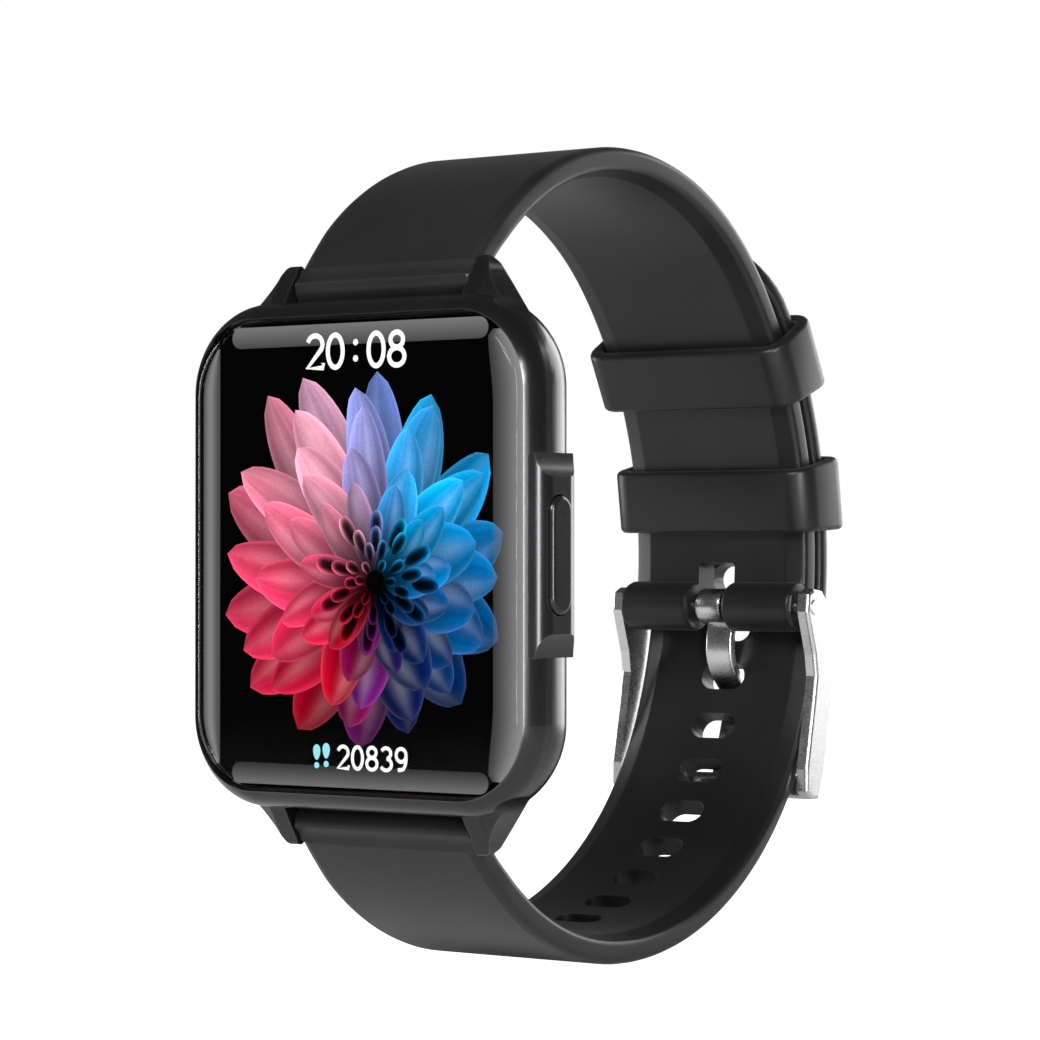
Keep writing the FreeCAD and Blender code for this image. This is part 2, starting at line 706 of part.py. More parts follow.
def lever_notch(body, end):
    """The notch on the wrist side of a roll where the quick-release lever slides."""
    y = size("bar_y")
    left, right = size("lever_x") - 2.4, size("lever_x") + 1.6
    notch = polygon(new_sketch(body, "XY_Plane", Vector(0, 0, end * size("bar_z"))),
                    [(left, y), (right, y), (right, y + 4.5), (left, y + 4.5)])
    pocket(body, notch, 1.8, SideType="Symmetric")


def build_upper_strap():
    body = new_body("upper_strap")
    back, crest = band_centres()
    thick = size("strap_thick")
    lug = math.degrees(math.atan2(size("bar_z") - crest[1], size("bar_y") - crest[0]))
    turn = math.degrees(math.atan2(crest[1] - back[1], crest[0] - back[0]))
    foot = math.degrees(math.atan2(-size("buckle_z"), size("buckle_y") - back[0]))
    top, rear = size("crest_radius"), size("upper_radius")
    path = closed_by_lines([arc(crest, top, lug, turn), arc(back, rear, turn, foot),
                            arc(back, rear - thick, foot, turn), arc(crest, top - thick, turn, lug)])
    pad(body, outline(new_sketch(body, "YZ_Plane"), path), "@strap_width", SideType="Symmetric")
    end_roll(body, (size("bar_y"), size("bar_z")), "@roll_radius", "@bar_radius + 0.05")
    end_roll(body, (size("buckle_y"), -size("buckle_z")), "@roll_radius + 0.2", "@buckle_bar_radius + 0.03")
    y, z = size("buckle_y"), -size("buckle_z")
    slot = polygon(new_sketch(body, "YZ_Plane"),
                   [(y - 4, z + 2.7), (y + 4, z + 2.7), (y + 4, z - 4), (y - 4, z - 4)])
    pocket(body, slot, "@tongue_width + 1.2", SideType="Symmetric")
    lever_notch(body, 1)
    trim_end(body, 1)
    return keep(body, "upper_strap")


def trim_end(body, end):
    """Takes the strap's sides back a little where they run between the lugs."""
    y, z = size("bar_y"), size("bar_z")
    low, high = end * (z - 4), end * (z + 4.5)
    zone = [(y - 4, low), (y + 3.2, low), (y + 3.2, high), (y - 4, high)]
    for side in (-1, 1):
        sketch = polygon(new_sketch(body, "YZ_Plane", Vector(0, 0, side * 11.9)), zone)
        pocket(body, sketch, 4.0, SideType="Symmetric")


def build_lower_strap():
    body = new_body("lower_strap")
    back, crest = band_centres()
    front = (crest[0], -crest[1])
    heel = (crest[0], -size("heel_z"))
    inner = (crest[0], -size("heel_inner_z"))
    thick = size("strap_thick")
    lug = -math.degrees(math.atan2(size("bar_z") - crest[1], size("bar_y") - crest[0]))
    turn = math.degrees(math.atan2(heel[1], heel[0] - back[0]))
    inner_turn = math.degrees(math.atan2(inner[1], inner[0] - back[0]))
    top, tail = size("crest_radius"), size("tail_radius")
    tail_inner = tail - size("tail_thick")
    tip = size("tip_angle")
    path = closed_by_lines([arc(front, top, lug, -90), arc(heel, size("heel_radius"), -90, turn),
                            arc(back, tail, turn, tip), arc(back, tail_inner, tip, inner_turn),
                            arc(inner, size("heel_inner_radius"), inner_turn, -90),
                            arc(front, top - thick, -90, lug)])
    pad(body, outline(new_sketch(body, "YZ_Plane"), path), "@strap_width", SideType="Symmetric")
    end_roll(body, (size("bar_y"), -size("bar_z")), "@roll_radius", "@bar_radius + 0.05")
    lever_notch(body, -1)
    trim_end(body, -1)
    round_tip(body, back)
    for centre, radius, angle in hole_places(back, heel):
        sketch = tangent_sketch(body, centre, angle, radius)
        rounded_rectangle(sketch, "@hole_length", "@hole_height", "@hole_height / 2 - 0.001")
        pocket(body, sketch, 9.0, SideType="Symmetric")
    return keep(body, "lower_strap")


def hole_places(back, heel):
    """Centre, radius and angle of each buckle hole: four above the one in use, seven round the bend."""
    tail = size("tail_radius") - size("tail_thick") / 2
    bend = size("heel_radius") - size("strap_thick") / 2
    step = math.degrees(size("hole_pitch") / tail)
    bend_step = math.degrees(size("hole_pitch") / bend)
    places = [(back, tail, size("tongue_hole_angle") + number * step) for number in range(5)]
    places += [(heel, bend, size("bend_hole_angle") - number * bend_step) for number in range(7)]
    return places


def round_tip(body, back):
    """Rounds the free end of the tail to a half circle as wide as the strap."""
    half = size("strap_width") / 2
    middle = size("tail_radius") - size("tail_thick") / 2
    start = size("tip_angle") - math.degrees(half / middle)
    sketch = tangent_sketch(body, back, start, middle)
    outline(sketch, [("arc", (half, 0), (0, -half), (-half, 0)), ("line", (-half, 0), (-half - 2, 0)),
                     ("line", (-half - 2, 0), (-half - 2, -half - 4)),
                     ("line", (-half - 2, -half - 4), (half + 2, -half - 4)),
                     ("line", (half + 2, -half - 4), (half + 2, 0)), ("line", (half + 2, 0), (half, 0))])
    pocket(body, sketch, 16.0, SideType="Symmetric")


def build_keepers():
    """Two equal loops that run round the back of the band; each is turned to its own place."""
    gap = size("keeper_gap")
    inside = size("upper_radius") - size("strap_thick") - gap
    outside = size("tail_radius") + gap
    middle = (inside + outside) / 2
    hole_width = "@strap_width + 2 * @keeper_gap"
    hole_depth = "@tail_radius - @upper_radius + @strap_thick + 2 * @keeper_gap"
    for label in ("fixed_keeper", "free_keeper"):
        body = new_body(label)
        sketch = new_sketch(body, "XY_Plane")
        rounded_rectangle(sketch, hole_width + " + 2 * @keeper_wall", hole_depth + " + 2 * @keeper_wall",
                          "@keeper_corner", centre=(0, middle))
        rounded_rectangle(sketch, hole_width, hole_depth, "0.3", centre=(0, middle))
        feature(body, "Revolution", sketch, Midplane=True, Angle="@keeper_width / %g * 180 / pi" % middle,
                ReferenceAxis=(plane(body, "X_Axis"), [""]))
        body.Placement = Placement(WRIST, Rotation(Vector(1, 0, 0), size(label + "_angle")))
        keep(body, label)


def build_buckle():
    """A frame of two arms and a crossbar, the bar it turns on and the tongue that loops round the bar."""
    y, z = size("buckle_y"), -size("buckle_z")
    body = new_body("buckle_frame")
    front = [(y - 1.2, z + 1.3), (y - 1.4, z - 0.4), (y - 0.1, z - 4.5), (y + 0.2, z - 6.6), (y - 0.3, z - 9.5),
             (y - 1.5, z - 15.5), (y - 1.5, z - 17.6)]
    rear = [(y - 0.5, z - 18.4), (y + 0.7, z - 18.4), (y + 1.5, z - 16.2), (y + 2.6, z - 11.6),
            (y + 3.4, z - 7.0), (y + 3.3, z - 3.5), (y + 2.5, z + 0.2), (y + 1.3, z + 1.6), (y - 0.2, z + 1.8)]
    for side in (-1, 1):
        sketch = polygon(new_sketch(body, "YZ_Plane", Vector(0, 0, side * size("arm_x"))), front + rear)
        pad(body, sketch, "@arm_thick", SideType="Symmetric")
    outside = size("arm_x") + size("arm_thick") / 2
    dress(body, "Fillet", lambda px, py, pz: abs(abs(px) - outside) < 1e-3, "@arm_edge")
    bar = rounded_rectangle(new_sketch(body, "YZ_Plane"), "@crossbar_thick", "@crossbar_depth",
                            "@crossbar_corner", centre=(y + 0.15, z - 17.35))
    pad(body, bar, "2 * @arm_x", SideType="Symmetric")
    seat = circle(new_sketch(body, "YZ_Plane"), "@buckle_bar_radius", (y, z))
    pocket(body, seat, 30.0, SideType="Symmetric")
    keep(body, "buckle_frame")
    keep(rod("buckle_bar", "@buckle_bar_radius", "2 * @arm_x + @arm_thick + 0.2",
             (-outside - 0.1, y, z), TOWARD_SIDE), "buckle_bar")
    build_tongue(y, z)


def build_tongue(y, z):
    """The strip leaves its loop inside the band, crosses the hole and rests outside the crossbar."""
    body = new_body("buckle_tongue")
    loop = circle(new_sketch(body, "YZ_Plane"), "@buckle_bar_radius + @tongue_wall", (y, z))
    pad(body, loop, "@tongue_width", SideType="Symmetric")
    inner = [(y + 0.75, z - 1.1), (y + 0.35, z - 3.2), (y + 0.25, z - 5.9), (y + 3.35, z - 8.85),
             (y + 2.25, z - 13.5), (y + 1.0, z - 17.9)]
    outer = [(y + 2.0, z - 18.3), (y + 3.25, z - 13.4), (y + 4.45, z - 8.6), (y + 4.1, z - 8.05),
             (y + 1.25, z - 5.55), (y + 1.3, z - 3.2), (y + 1.65, z - 0.6)]
    strip = polygon(new_sketch(body, "YZ_Plane"), inner + outer)
    pad(body, strip, "@tongue_width", SideType="Symmetric")
    bore = circle(new_sketch(body, "YZ_Plane"), "@buckle_bar_radius + 0.05", (y, z))
    pocket(body, bore, 30.0, SideType="Symmetric")
    keep(body, "buckle_tongue")


def build_spring_bar(prefix, end, shift, squeeze):
    """A quick-release bar: shift moves it along X and squeeze pushes its sliding tip in."""
    y, z, lever = size("bar_y"), end * size("bar_z"), size("lever_x")
    left = shift - size("bar_half_length")
    shell = rod(prefix + "_shell", "@bar_radius", "2 * @bar_half_length", (left, y, z), TOWARD_SIDE)
    tip = rod(prefix + "_fixed_tip", "@tip_radius", "2.4", (left - 1.9, y, z), TOWARD_SIDE)
    bore = rod(prefix + "_bore", "@slider_radius + 0.04", "15", (left + 2.9, y, z), TOWARD_SIDE)
    slot = block(prefix + "_slot", (3.2, 1.5, 0.9), (shift + lever - 0.8, y, z))
    hollow = cut(prefix + "_hollow", joined(prefix + "_solid", shell, tip), bore)
    keep(cut(prefix + "_slotted", hollow, slot), prefix + "_bar_tube")
    push = shift - squeeze
    slider = rod(prefix + "_slider", "@slider_radius", "5.9", (push + 2.9, y, z), TOWARD_SIDE)
    nose = rod(prefix + "_nose", "@tip_radius", "4.0", (push + 6.8, y, z), TOWARD_SIDE)
    knob = rod(prefix + "_knob", "@tip_radius", "3.6", (push + lever, y, z), TOWARD_BACK)
    keep(joined(prefix + "_latch", slider, nose, knob), prefix + "_bar_slider")
    spring = tube(prefix + "_coil", 0.46, 0.3, 8.8 - squeeze, (left + 2.95, y, z), TOWARD_SIDE)
    keep(spring, prefix + "_bar_spring")


def check_all():
    """Stops if any object failed or any piece has no valid shape."""
    doc.recompute()
    for item in doc.Objects:
        if "Invalid" in item.State or "Error" in item.State:
            raise ValueError("%s is %s" % (item.Name, item.State))
    for piece in pieces:
        shape = piece.Shape
        if shape.isNull() or not shape.isValid() or not shape.Solids:
            raise ValueError("%s has no valid solid" % piece.Label)


def write_all():
    os.makedirs("parts", exist_ok=True)
    for piece in pieces:
        piece.Shape.exportStep("parts/%s.step" % piece.Label)


build_case()
build_front_stack()
build_inner_frame()
build_boards()
build_motor()
build_button()
build_back()
build_upper_strap()
build_lower_strap()
build_keepers()
build_buckle()
build_spring_bar("upper", 1, 0.0, 0.0)
build_spring_bar("lower", -1, 0.9, 1.8)
check_all()
write_all()
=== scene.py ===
import json
import math
import random

import bmesh
import bpy
from mathutils import Matrix, Vector


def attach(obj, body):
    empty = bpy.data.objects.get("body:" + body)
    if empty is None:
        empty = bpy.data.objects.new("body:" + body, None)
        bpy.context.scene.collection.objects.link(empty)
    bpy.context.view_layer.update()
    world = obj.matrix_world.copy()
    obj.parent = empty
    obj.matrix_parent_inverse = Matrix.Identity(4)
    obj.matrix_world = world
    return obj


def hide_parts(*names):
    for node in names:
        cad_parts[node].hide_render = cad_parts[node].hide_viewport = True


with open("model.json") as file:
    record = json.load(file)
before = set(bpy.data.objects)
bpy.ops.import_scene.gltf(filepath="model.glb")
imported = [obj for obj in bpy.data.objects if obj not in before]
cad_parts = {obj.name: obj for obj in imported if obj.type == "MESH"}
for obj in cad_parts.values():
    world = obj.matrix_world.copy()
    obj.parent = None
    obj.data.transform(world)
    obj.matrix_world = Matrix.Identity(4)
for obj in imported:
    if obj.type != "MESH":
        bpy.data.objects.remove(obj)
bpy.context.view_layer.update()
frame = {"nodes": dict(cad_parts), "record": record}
random.seed(7)
MM = 0.001


# ---------------------------------------------------------------- node helpers

class Nodes:
    """A small builder for one procedural material."""

    def __init__(self, name):
        self.material = bpy.data.materials.new(name)
        self.material.use_nodes = True
        self.tree = self.material.node_tree
        self.shader = self.tree.nodes["Principled BSDF"]

    def add(self, kind, **values):
        node = self.tree.nodes.new("ShaderNode" + kind)
        for key, value in values.items():
            if key in node.inputs.keys():
                node.inputs[key].default_value = value
            else:
                setattr(node, key, value)
        return node

    def link(self, source, target):
        self.tree.links.new(source, target)

    def place(self):
        """Object coordinates in metres, the same on every piece."""
        return self.add("TexCoord").outputs["Object"]

    def noise(self, scale, detail=4.0, rough=0.5, stretch=None):
        where = self.place()
        if stretch:
            bend = self.add("Mapping")
            bend.inputs["Scale"].default_value = stretch
            self.link(where, bend.inputs["Vector"])
            where = bend.outputs["Vector"]
        node = self.add("TexNoise")
        node.inputs["Scale"].default_value = scale
        node.inputs["Detail"].default_value = detail
        node.inputs["Roughness"].default_value = rough
        self.link(where, node.inputs["Vector"])
        return node.outputs["Fac"]

    def ramp(self, value, stops):
        """Maps a 0..1 value through colour stops [(place, colour), ...]."""
        node = self.add("ValToRGB")
        band = node.color_ramp
        while len(band.elements) < len(stops):
            band.elements.new(0.5)
        for element, (where, colour) in zip(band.elements, stops):
            element.position = where
            element.color = colour if len(colour) == 4 else (*colour, 1.0)
        self.link(value, node.inputs["Fac"])
        return node.outputs["Color"]

    def span(self, value, low, high, source=(0.3, 0.7)):
        """Maps a value linearly to a range."""
        node = self.add("MapRange")
        node.inputs["From Min"].default_value = source[0]
        node.inputs["From Max"].default_value = source[1]
        node.inputs["To Min"].default_value = low
        node.inputs["To Max"].default_value = high
        self.link(value, node.inputs["Value"])
        return node.outputs["Result"]

    def maths(self, kind, a, b=None):
        node = self.add("Math")
        node.operation = kind
        for socket, value in zip(node.inputs, (a, b)):
            if value is None:
                continue
            if isinstance(value, (int, float)):
                socket.default_value = value
            else:
                self.link(value, socket)
        return node.outputs["Value"]

    def mix(self, factor, first, second):
        node = self.add("Mix", data_type="RGBA")
        for socket, value in ((node.inputs[0], factor), (node.inputs[6], first), (node.inputs[7], second)):
            if isinstance(value, (int, float)):
                socket.default_value = value
            elif isinstance(value, tuple):
                socket.default_value = value if len(value) == 4 else (*value, 1.0)
            else:
                self.link(value, socket)
        return node.outputs[2]

    def bump(self, height, distance, strength=1.0, after=None):
        node = self.add("Bump")
        node.inputs["Strength"].default_value = strength
        node.inputs["Distance"].default_value = distance
        self.link(height, node.inputs["Height"])
        if after is not None:
            self.link(after, node.inputs["Normal"])
        return node.outputs["Normal"]

    def painted_edge_highlight(self, width):
        """1 on sharp edges and 0 on flat faces, from the difference of a rounded and a plain normal; the
        mask for a painted edge highlight.
        """
        bevel = self.add("Bevel", samples=4)
        bevel.inputs["Radius"].default_value = width
        plain = self.add("NewGeometry")
        product = self.add("VectorMath", operation="DOT_PRODUCT")
        self.link(bevel.outputs["Normal"], product.inputs[0])
        self.link(plain.outputs["Normal"], product.inputs[1])
        return self.span(product.outputs["Value"], 1.0, 0.0, (0.80, 0.995))

    def set(self, **inputs):
        names = {"colour": "Base Color", "rough": "Roughness", "metal": "Metallic", "normal": "Normal",
                 "coat": "Coat Weight", "coat_rough": "Coat Roughness", "specular": "Specular IOR Level",
                 "sheen": "Sheen Weight", "sheen_rough": "Sheen Roughness", "glow": "Emission Color",
                 "glow_power": "Emission Strength", "anisotropic": "Anisotropic"}
        for key, value in inputs.items():
            socket = self.shader.inputs[names[key]]
            if isinstance(value, (int, float)):
                socket.default_value = value
            elif isinstance(value, tuple):
                socket.default_value = value if len(value) == 4 else (*value, 1.0)
            else:
                self.link(value, socket)
        return self.material


# ---------------------------------------------------------------- materials

def silicone():
    """Matte black silicone: fine moulded grain, a faint bloom of dust, and softer, paler edges that are a
    painted highlight.
    """
    n = Nodes("silicone_black")
    cloud = n.noise(90, 3)
    grain = n.noise(9000, 2, 0.6)
    colour = n.ramp(cloud, [(0.3, (0.0075, 0.0075, 0.008)), (0.7, (0.013, 0.013, 0.014))])
    # Painted highlight: sharp edges are mixed towards a paler grey (0.03) in the base colour itself.
    edge_highlighted = n.mix(n.maths("MULTIPLY", n.painted_edge_highlight(0.0003), 0.5), colour, (0.03, 0.03, 0.031))
    rough = n.maths("ADD", n.span(cloud, 0.33, 0.41), n.span(grain, -0.03, 0.03))
    soft = n.bump(grain, 0.00001, 0.6)
    return n.set(colour=edge_highlighted, rough=rough, specular=0.42, sheen=0.05, sheen_rough=0.4, normal=soft)


def case_metal():
    """Dark anodised metal, satin with a clear coat, brushed very finely, with a painted highlight that makes
    its edges bright.
    """
    n = Nodes("case_dark_metal")
    blast = n.noise(16000, 2, 0.6)
    cloud = n.noise(60, 3)
    colour = n.ramp(cloud, [(0.3, (0.024, 0.024, 0.026)), (0.7, (0.034, 0.034, 0.036))])
    # Painted highlight: sharp edges are mixed towards a light grey (0.16) in the base colour itself.
    edge_highlighted = n.mix(n.maths("MULTIPLY", n.painted_edge_highlight(0.00025), 0.45), colour, (0.16, 0.16, 0.165))
    rough = n.maths("ADD", n.span(cloud, 0.21, 0.26), n.span(blast, -0.03, 0.03))
    return n.set(colour=edge_highlighted, rough=rough, metal=0.75, coat=0.35, coat_rough=0.18,
                 normal=n.bump(blast, 0.000004, 0.5))


def steel(name, base, rough_low, rough_high, direction):
    """Polished or brushed steel with lines along one direction and small rubbed spots."""
    n = Nodes(name)
    lines = n.noise(2500, 3, 0.6, stretch=direction)
    cloud = n.noise(400, 3)
    colour = n.mix(n.span(cloud, 0, 1), tuple(0.92 * c for c in base), base)
    rough = n.maths("ADD", n.span(lines, rough_low, rough_high), n.span(cloud, -0.02, 0.03))
    return n.set(colour=colour, rough=rough, metal=1.0, anisotropic=0.2, normal=n.bump(lines, 0.000004, 0.4))


def plastic(name, low, high, rough, grain_scale=6000, coat=0.0):
    """Moulded plastic with a fine spark texture."""
    n = Nodes(name)
    cloud = n.noise(120, 3)
    grain = n.noise(grain_scale, 2)
    colour = n.ramp(cloud, [(0.3, low), (0.7, high)])
    return n.set(colour=colour, rough=n.maths("ADD", n.span(grain, rough - 0.04, rough + 0.04), 0.0),
                 coat=coat, coat_rough=0.08, normal=n.bump(grain, 0.00001, 0.4))


def circuit_board():
    """Green solder mask with copper tracks as a fine cell pattern."""
    n = Nodes("circuit_board")
    cells = n.add("TexVoronoi", feature="DISTANCE_TO_EDGE")
    cells.inputs["Scale"].default_value = 700
    n.link(n.place(), cells.inputs["Vector"])
    tracks = n.span(cells.outputs["Distance"], 1, 0, (0.02, 0.06))
    colour = n.mix(tracks, (0.008, 0.07, 0.03), (0.03, 0.19, 0.09))
    return n.set(colour=colour, rough=n.span(n.noise(900), 0.3, 0.45), normal=n.bump(tracks, 0.00002, 0.4))


def cover_glass():
    """Clear coated glass: it lets the screen through and mirrors more at a glancing angle."""
    n = Nodes("cover_glass_clear")
    tree = n.tree
    out = tree.nodes["Material Output"]
    clear = n.add("BsdfTransparent")
    clear.inputs["Color"].default_value = (0.97, 0.97, 0.975, 1)
    mirror = n.add("BsdfGlossy")
    smudge = n.noise(70, 4, 0.6)
    n.link(n.span(smudge, 0.01, 0.04), mirror.inputs["Roughness"])
    facing = n.add("Fresnel")
    facing.inputs["IOR"].default_value = 1.24
    blend = n.add("MixShader")
    n.link(facing.outputs["Fac"], blend.inputs["Fac"])
    n.link(clear.outputs[0], blend.inputs[1])
    n.link(mirror.outputs[0], blend.inputs[2])
    n.link(blend.outputs[0], out.inputs["Surface"])
    return n.material


def screen_black():
    """The unlit display: hardly any light comes back from it."""
    n = Nodes("screen_black")
    deep = n.noise(900, 2)
    return n.set(colour=n.ramp(deep, [(0.3, (0.0006, 0.0006, 0.0007)), (0.7, (0.001, 0.001, 0.0012))]),
                 rough=0.9, specular=0.0)


def glow_paint(name, strength):
    """Lit picture: shows the colour painted on the mesh, with a very fine shimmer."""
    n = Nodes(name)
    paint = n.add("VertexColor")
    paint.layer_name = "paint"
    shimmer = n.span(n.noise(5000, 1), 0.93, 1.07)
    scaled = n.add("VectorMath", operation="SCALE")
    n.link(paint.outputs["Color"], scaled.inputs[0])
    n.link(shimmer, scaled.inputs["Scale"])
    return n.set(colour=(0.0, 0.0, 0.0), rough=0.6, specular=0.0, glow=scaled.outputs["Vector"],
                 glow_power=strength)


def studio_floor():
    """Pale paper that looks bright to the camera and throws only a little light back on the watch."""
    n = Nodes("studio_floor")
    paper = n.noise(30, 3)
    tint = n.ramp(paper, [(0.3, (0.86, 0.86, 0.86)), (0.7, (0.88, 0.88, 0.88))])
    n.set(colour=tint, rough=0.9, specular=0.1,
          glow=(1.0, 1.0, 1.0))
    seen = n.add("LightPath").outputs["Is Camera Ray"]
    n.link(n.span(seen, 0.0, FLOOR_GLOW, (0.0, 1.0)), n.shader.inputs["Emission Strength"])
    return n.material


FLOOR_GLOW = 1.0
STEEL = (0.78, 0.78, 0.79)
finishes = {
    "case_metal": case_metal(),
    "cover_glass": cover_glass(),
    "screen": screen_black(),
    "silicone": silicone(),
    "polished_steel": steel("polished_steel", STEEL, 0.22, 0.32, (1, 1, 12)),
    "spring_steel": steel("spring_steel", (0.6, 0.6, 0.62), 0.22, 0.36, (12, 1, 1)),
    "inner_plastic": plastic("inner_plastic", (0.02, 0.02, 0.021), (0.03, 0.03, 0.031), 0.5),
    "cover_plastic": plastic("cover_plastic", (0.010, 0.010, 0.011), (0.016, 0.016, 0.017), 0.38, coat=0.3),
    "board_green": circuit_board(),
    "chip_black": plastic("chip_black", (0.012, 0.012, 0.012), (0.02, 0.02, 0.02), 0.45),
    "lamp_white": plastic("lamp_white", (0.7, 0.8, 0.6), (0.8, 0.9, 0.7), 0.2, coat=0.6),
    "window_dark": plastic("window_dark", (0.006, 0.006, 0.008), (0.010, 0.010, 0.013), 0.1, 900, 1.0),
    "battery_wrap": plastic("battery_wrap", (0.40, 0.41, 0.43), (0.50, 0.51, 0.53), 0.32),
    "film_amber": plastic("film_amber", (0.42, 0.19, 0.03), (0.52, 0.26, 0.05), 0.35),
    "gold_pins": steel("gold_pins", (0.85, 0.63, 0.28), 0.15, 0.25, (1, 1, 1)),
    "seal_rubber": plastic("seal_rubber", (0.02, 0.02, 0.02), (0.03, 0.03, 0.03), 0.6),
}
slot_of = {part["node"]: part["material_slot"] for part in frame["record"]["subparts"]}


def finish_cad_nodes():
    """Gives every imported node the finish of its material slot."""
    for name, node in frame["nodes"].items():
        node.data.materials.clear()
        node.data.materials.append(finishes[slot_of[name]])


finish_cad_nodes()


# ---------------------------------------------------------------- mesh helpers

def make_piece(name, points, faces, finish, body=None, smooth=35):
    """A mesh object from points in millimetres in the row frame."""
    mesh = bpy.data.meshes.new(name)
    mesh.from_pydata([tuple(c * MM for c in p) for p in points], [], faces)
    build = bmesh.new()
    build.from_mesh(mesh)
    bmesh.ops.remove_doubles(build, verts=build.verts, dist=1e-7)
    bmesh.ops.recalc_face_normals(build, faces=build.faces)
    build.to_mesh(mesh)
    build.free()
    piece = bpy.data.objects.new(name, mesh)
    bpy.context.scene.collection.objects.link(piece)
    if finish:
        mesh.materials.append(finishes[finish])
    soften(piece, smooth)
    if body:
        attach(piece, body)
    return piece


def soften(piece, angle):
    """Smooth shading with sharp edges kept above an angle."""
    piece.data.shade_smooth()
    piece.data.set_sharp_from_angle(angle=math.radians(angle))


def weigh_normals(piece):
    """Lets the large faces set the shading, so small faces round a hole do not smear it."""
    modifier = piece.modifiers.new("weigh", "WEIGHTED_NORMAL")
    modifier.keep_sharp = True
    apply_modifiers(piece)


def apply_modifiers(piece):
    """Turns the piece's modifiers into plain mesh."""
    depsgraph = bpy.context.evaluated_depsgraph_get()
    depsgraph.update()
    finished = bpy.data.meshes.new_from_object(piece.evaluated_get(depsgraph))
    piece.modifiers.clear()
    piece.data = finished
    return piece


def carve(piece, cutters, operation="DIFFERENCE"):
    """Exact boolean with a list of objects, which are then removed."""
    for cutter in cutters:
        step = piece.modifiers.new("carve", "BOOLEAN")
        step.operation = operation
        step.solver = "EXACT"
        step.object = cutter
        apply_modifiers(piece)
        bpy.data.objects.remove(cutter)
    return piece


def bevel(piece, width, segments=2, angle=35):
    """Rounds every edge sharper than an angle by a width in millimetres."""
    step = piece.modifiers.new("bevel", "BEVEL")
    step.width = width * MM
    step.segments = segments
    step.limit_method = "ANGLE"
    step.angle_limit = math.radians(angle)
    step.use_clamp_overlap = True
    return apply_modifiers(piece)


def polar(centre, radius, angle):
    """(y, z) on a circle about (y, z), the angle in degrees from +Y."""
    a = math.radians(angle)
    return centre[0] + radius * math.cos(a), centre[1] + radius * math.sin(a)


def loft(rings, closed_path=False, caps=True):
    """Faces between equal rings of points, with the end rings filled."""
    points = [p for ring in rings for p in ring]
    size = len(rings[0])
    faces = []
    count = len(rings)
    for i in range(count if closed_path else count - 1):
        here, there = i * size, (i + 1) % count * size
        for j in range(size):
            k = (j + 1) % size
            faces.append((here + j, here + k, there + k, there + j))
    if caps and not closed_path:
        faces.append(tuple(range(size)))
        faces.append(tuple((count - 1) * size + j for j in reversed(range(size))))
    return points, faces


def rounded_loop(half_x, half_y, radius, steps=5):
    """Points of a rounded rectangle, anticlockwise."""
    loop = []
    for sx, sy, start in ((1, 1, 0), (-1, 1, 90), (-1, -1, 180), (1, -1, 270)):
        for i in range(steps + 1):
            a = math.radians(start + 90 * i / steps)
            x = sx * (half_x - radius) + radius * math.cos(a)
            y = sy * (half_y - radius) + radius * math.sin(a)
            loop.append((x, y))
    return loop


# ---------------------------------------------------------------- band

BAR_Y, BAR_Z = -5.2, 23.7
BACK = (5.4, 0.0)
CREST = (16.4, 9.12)
FRONT_LOW = (16.4, -9.12)
HEEL = (16.4, -4.55)
BUCKLE = (44.55, -5.0)
TURN = math.degrees(math.atan2(CREST[1], CREST[0] - BACK[0]))
HEEL_TURN = math.degrees(math.atan2(HEEL[1], HEEL[0] - BACK[0]))
STRAP = 2.65
TAIL = 2.1
TIP = 45.5
HALF = 10.0
LUG_TURN = 146.5
ROLL = 1.85


def strap_section(thick, half=HALF):
    """The strap's section: a flat outer face with a fine step, round edges and a bevelled inner face."""
    outer = [(half - 0.85, 0.0), (half - 0.72, 0.07), (half - 0.45, 0.10), (half - 0.2, 0.22),
             (half - 0.05, 0.45), (half, 0.75)]
    inner = [(half, thick - 1.0), (half - 0.06, thick - 0.7), (half - 0.25, thick - 0.5),
             (half - 0.5, thick - 0.42), (half - 1.9, thick - 0.04), (half - 2.2, thick)]
    side = outer + inner
    return side + [(-x, d) for x, d in reversed(side)]


def band_rings(arcs, step=1.5):
    """Rings along the arcs; each arc is (centre, outer radius, first angle, last angle, thickness pair)."""
    rings = []
    for centre, radius, first, last, (thin, thick) in arcs:
        count = max(2, int(abs(last - first) / step))
        for i in range(count + 1):
            if i == 0 and rings:
                continue
            share = i / count
            angle = first + (last - first) * share
            depth = thin + (thick - thin) * share
            waist = 0.13 * smooth_step((abs(angle) - 133) / 6)
            ring = []
            for x, d in strap_section(depth, HALF - waist):
                y, z = polar(centre, radius - d, angle)
                ring.append((x, y, z))
            rings.append(ring)
    return rings


def smooth_step(share):
    """Eases from 0 to 1."""
    share = min(max(share, 0.0), 1.0)
    return share * share * (3 - 2 * share)


def groove_cutter(end):
    """A wide shallow hollow across the strap, just above its rolled end."""
    angle = 145.7
    y, z = polar(CREST, 27.7 + 1.32, angle)
    return rod_cutter(y, end * z, 1.6)


def roll(name, spot, radius, half, gap=None):
    """A round strap end across the band, with soft ends; gap keeps only one side of a centre slot."""
    low, high = (-half, half) if gap is None else gap
    soft = 0.35
    profile = [(low, 0.8), (low, radius - soft), (low + 0.1, radius - 0.12), (low + soft, radius),
               (high - soft, radius), (high - 0.1, radius - 0.12), (high, radius - soft), (high, 0.8)]
    rings = []
    for i in range(40):
        angle = 360 * i / 40
        rings.append([(x, *polar(spot, r, angle)) for x, r in profile])
    return make_piece(name, *loft(rings, closed_path=True), None)


